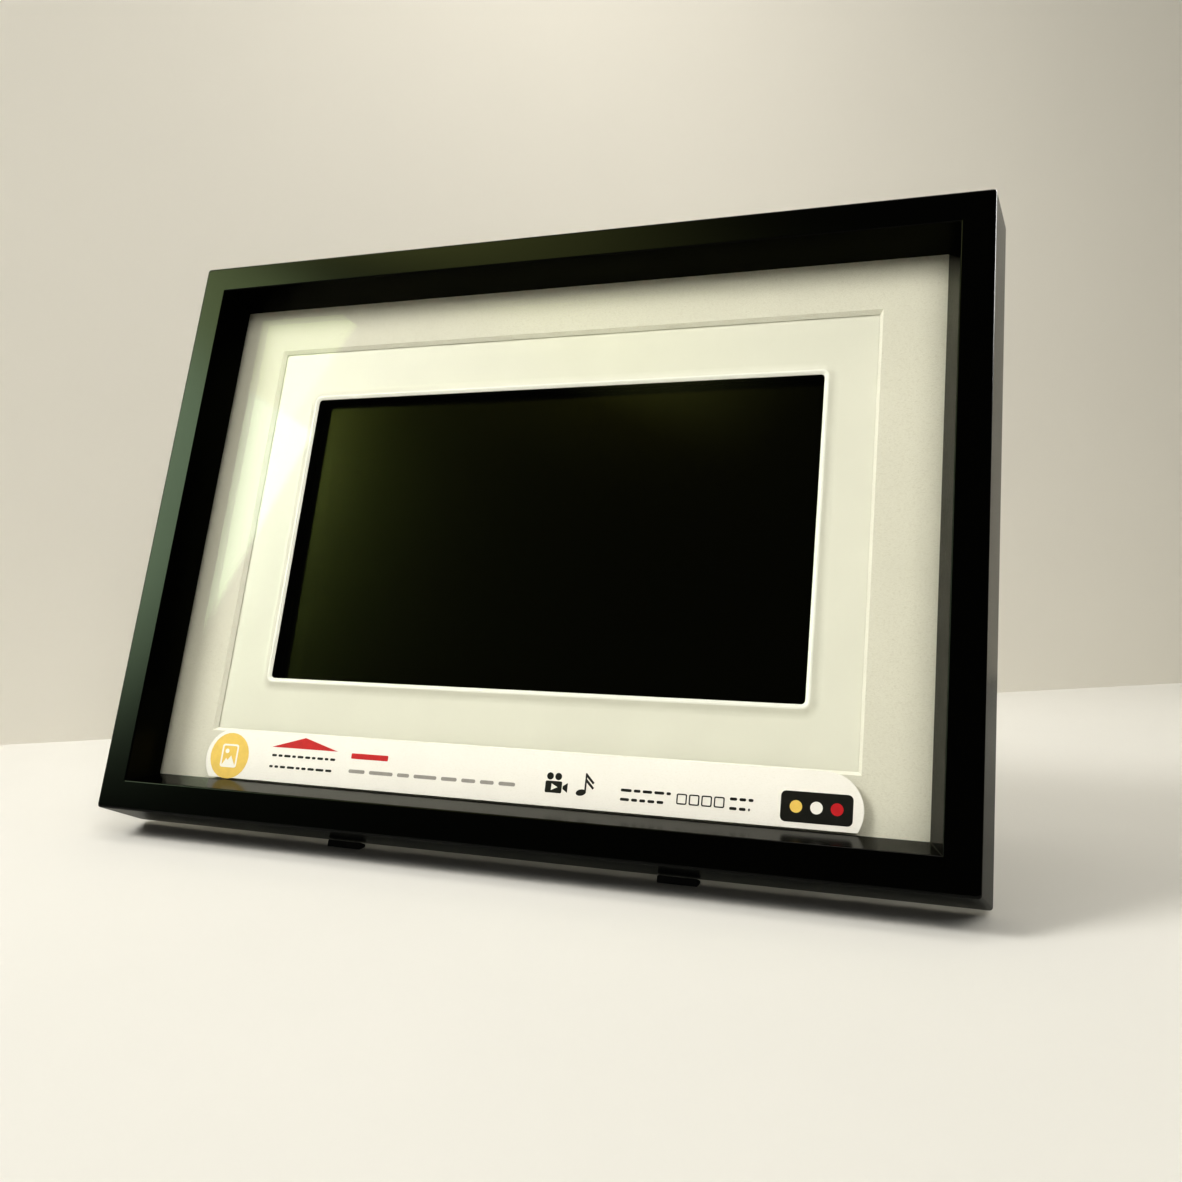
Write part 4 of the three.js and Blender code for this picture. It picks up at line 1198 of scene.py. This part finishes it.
def add_glow(name, azimuth, elevation, half_w, half_h, colour, strength, soft):
    """A patch of light that only polished surfaces mirror.

    soft is how much of it fades at its near side, far side, foot and top, as a share of its size.
    """
    material = bpy.data.materials.new(name)
    material.use_nodes = True
    tree = material.node_tree
    tree.nodes.remove(tree.nodes["Principled BSDF"])
    across_it = add_node(tree, "TexCoord").outputs["Generated"]
    split = add_node(tree, "SeparateXYZ", {0: across_it})
    level = add_node(tree, "VectorMath", operation="MULTIPLY")
    for k, tone in enumerate((colour, (1, 1, 1))):
        ramp = add_node(tree, "ValToRGB", {"Fac": split.outputs[k]})
        ramp.color_ramp.interpolation = "EASE"
        stops = ramp.color_ramp.elements
        stops[0].color = stops[1].color = (0, 0, 0, 1)
        for place in (soft[2 * k], 1 - soft[2 * k + 1]):
            stops.new(place).color = (*tone, 1)
        feed(tree, level.inputs[k], ramp.outputs["Color"])
    glow = add_node(tree, "Emission", {"Color": level.outputs[0], "Strength": strength})
    clear = add_node(tree, "BsdfTransparent")
    both = add_node(tree, "AddShader", {0: glow.outputs[0], 1: clear.outputs[0]})
    feed(tree, tree.nodes["Material Output"].inputs["Surface"], both.outputs[0])
    facing = towards(azimuth, elevation)
    right = Vector((0, 0, 1)).cross(facing).normalized()
    up = facing.cross(right)
    corners = [(u * half_w, v * half_h, 0) for u, v in ((-1, -1), (1, -1), (1, 1), (-1, 1))]
    obj = add_plane(name, corners, material)
    obj.matrix_world = Matrix.Translation(AIM + facing * GLOW_DISTANCE) @ Matrix(
        (-right, up, -facing)).transposed().to_4x4()
    obj.visible_camera = False
    obj.visible_diffuse = False
    obj.visible_shadow = False


def add_light(name, azimuth, elevation, distance, size, power, colour, spread=180,
        mirrored=True, lights_matt=True, aim=AIM):
    """A soft box turned towards the frame."""
    data = bpy.data.lights.new(name, "AREA")
    data.shape = "SQUARE"
    data.size = size
    data.energy = power
    data.spread = radians(spread)
    data.color = colour
    obj = bpy.data.objects.new(name, data)
    facing = towards(azimuth, elevation)
    obj.location = aim + facing * distance
    obj.rotation_euler = (-facing).to_track_quat("-Z", "Y").to_euler()
    obj.visible_glossy = mirrored
    obj.visible_diffuse = lights_matt
    scene.collection.objects.link(obj)


def add_room():
    """A plain pale room, even on matt surfaces and dim in what polished ones mirror."""
    world = bpy.data.worlds.new("room")
    world.use_nodes = True
    tree = world.node_tree
    seen = tree.nodes["Background"]
    seen.inputs["Color"].default_value = (1.0, 0.98, 0.92, 1)
    seen.inputs["Strength"].default_value = ROOM_LIGHT
    path = add_node(tree, "LightPath")
    for ray, colour in (("Is Glossy Ray", (0.027, 0.03, 0.024, 1)),
            ("Is Camera Ray", (0.78, 0.76, 0.70, 1))):
        plain = add_node(tree, "Background", {"Color": colour})
        seen = add_node(tree, "MixShader", {
            0: path.outputs[ray], 1: seen.outputs[0], 2: plain.outputs[0]})
    feed(tree, tree.nodes["World Output"].inputs["Surface"], seen.outputs[0])
    scene.world = world


def add_lights():
    add_glow("glow_low", 59, 21, 0.28, 0.30, (0.74, 1.0, 0.64), 7.2, (0.02, 0.4, 0.5, 0.02))
    add_glow("glow_middle", 61.2, 37.5, 0.28, 0.082, (0.80, 1.0, 0.46), 4.2,
        (0.02, 0.4, 0.02, 0.02))
    add_glow("glow_top", 45, 50.5, 0.64, 0.20, (0.92, 1.0, 0.34), 3.0, (0.65, 0.1, 0.3, 0.4))
    add_light("key", 52, 40, 1.3, 0.45, 1.75, (1.0, 0.985, 0.95), 70, mirrored=False)
    add_light("fill", -38, 39, 1.3, 0.55, 1.03, (1.0, 0.97, 0.93), 80, mirrored=False)
    add_light("overhead", 180, 84, 0.95, 0.5, 1.45, (1.0, 0.965, 0.92))
    add_light("wall_wash", 0, 58, 0.55, 0.2, 0.2, (1.0, 0.965, 0.90), 80, mirrored=False,
        aim=Vector((-0.02, 0.29, 0.24)))
    add_light("rear_left", 140, 42, 1.2, 0.7, 45, (1, 1, 1), lights_matt=False)
    add_light("rear_right", -138, 30, 1.2, 0.6, 30, (1, 1, 1), lights_matt=False)
    add_room()
    scene.view_settings.view_transform = "Standard"
    scene.view_settings.look = "Medium High Contrast"


add_moulding()
add_pane()
add_mat()
add_panel()
add_label()
add_display()
add_screws()
add_electronics()
add_cover()
add_button()
add_clips()
add_swivel()
add_leg()
add_feet()
add_stage()
add_lights()
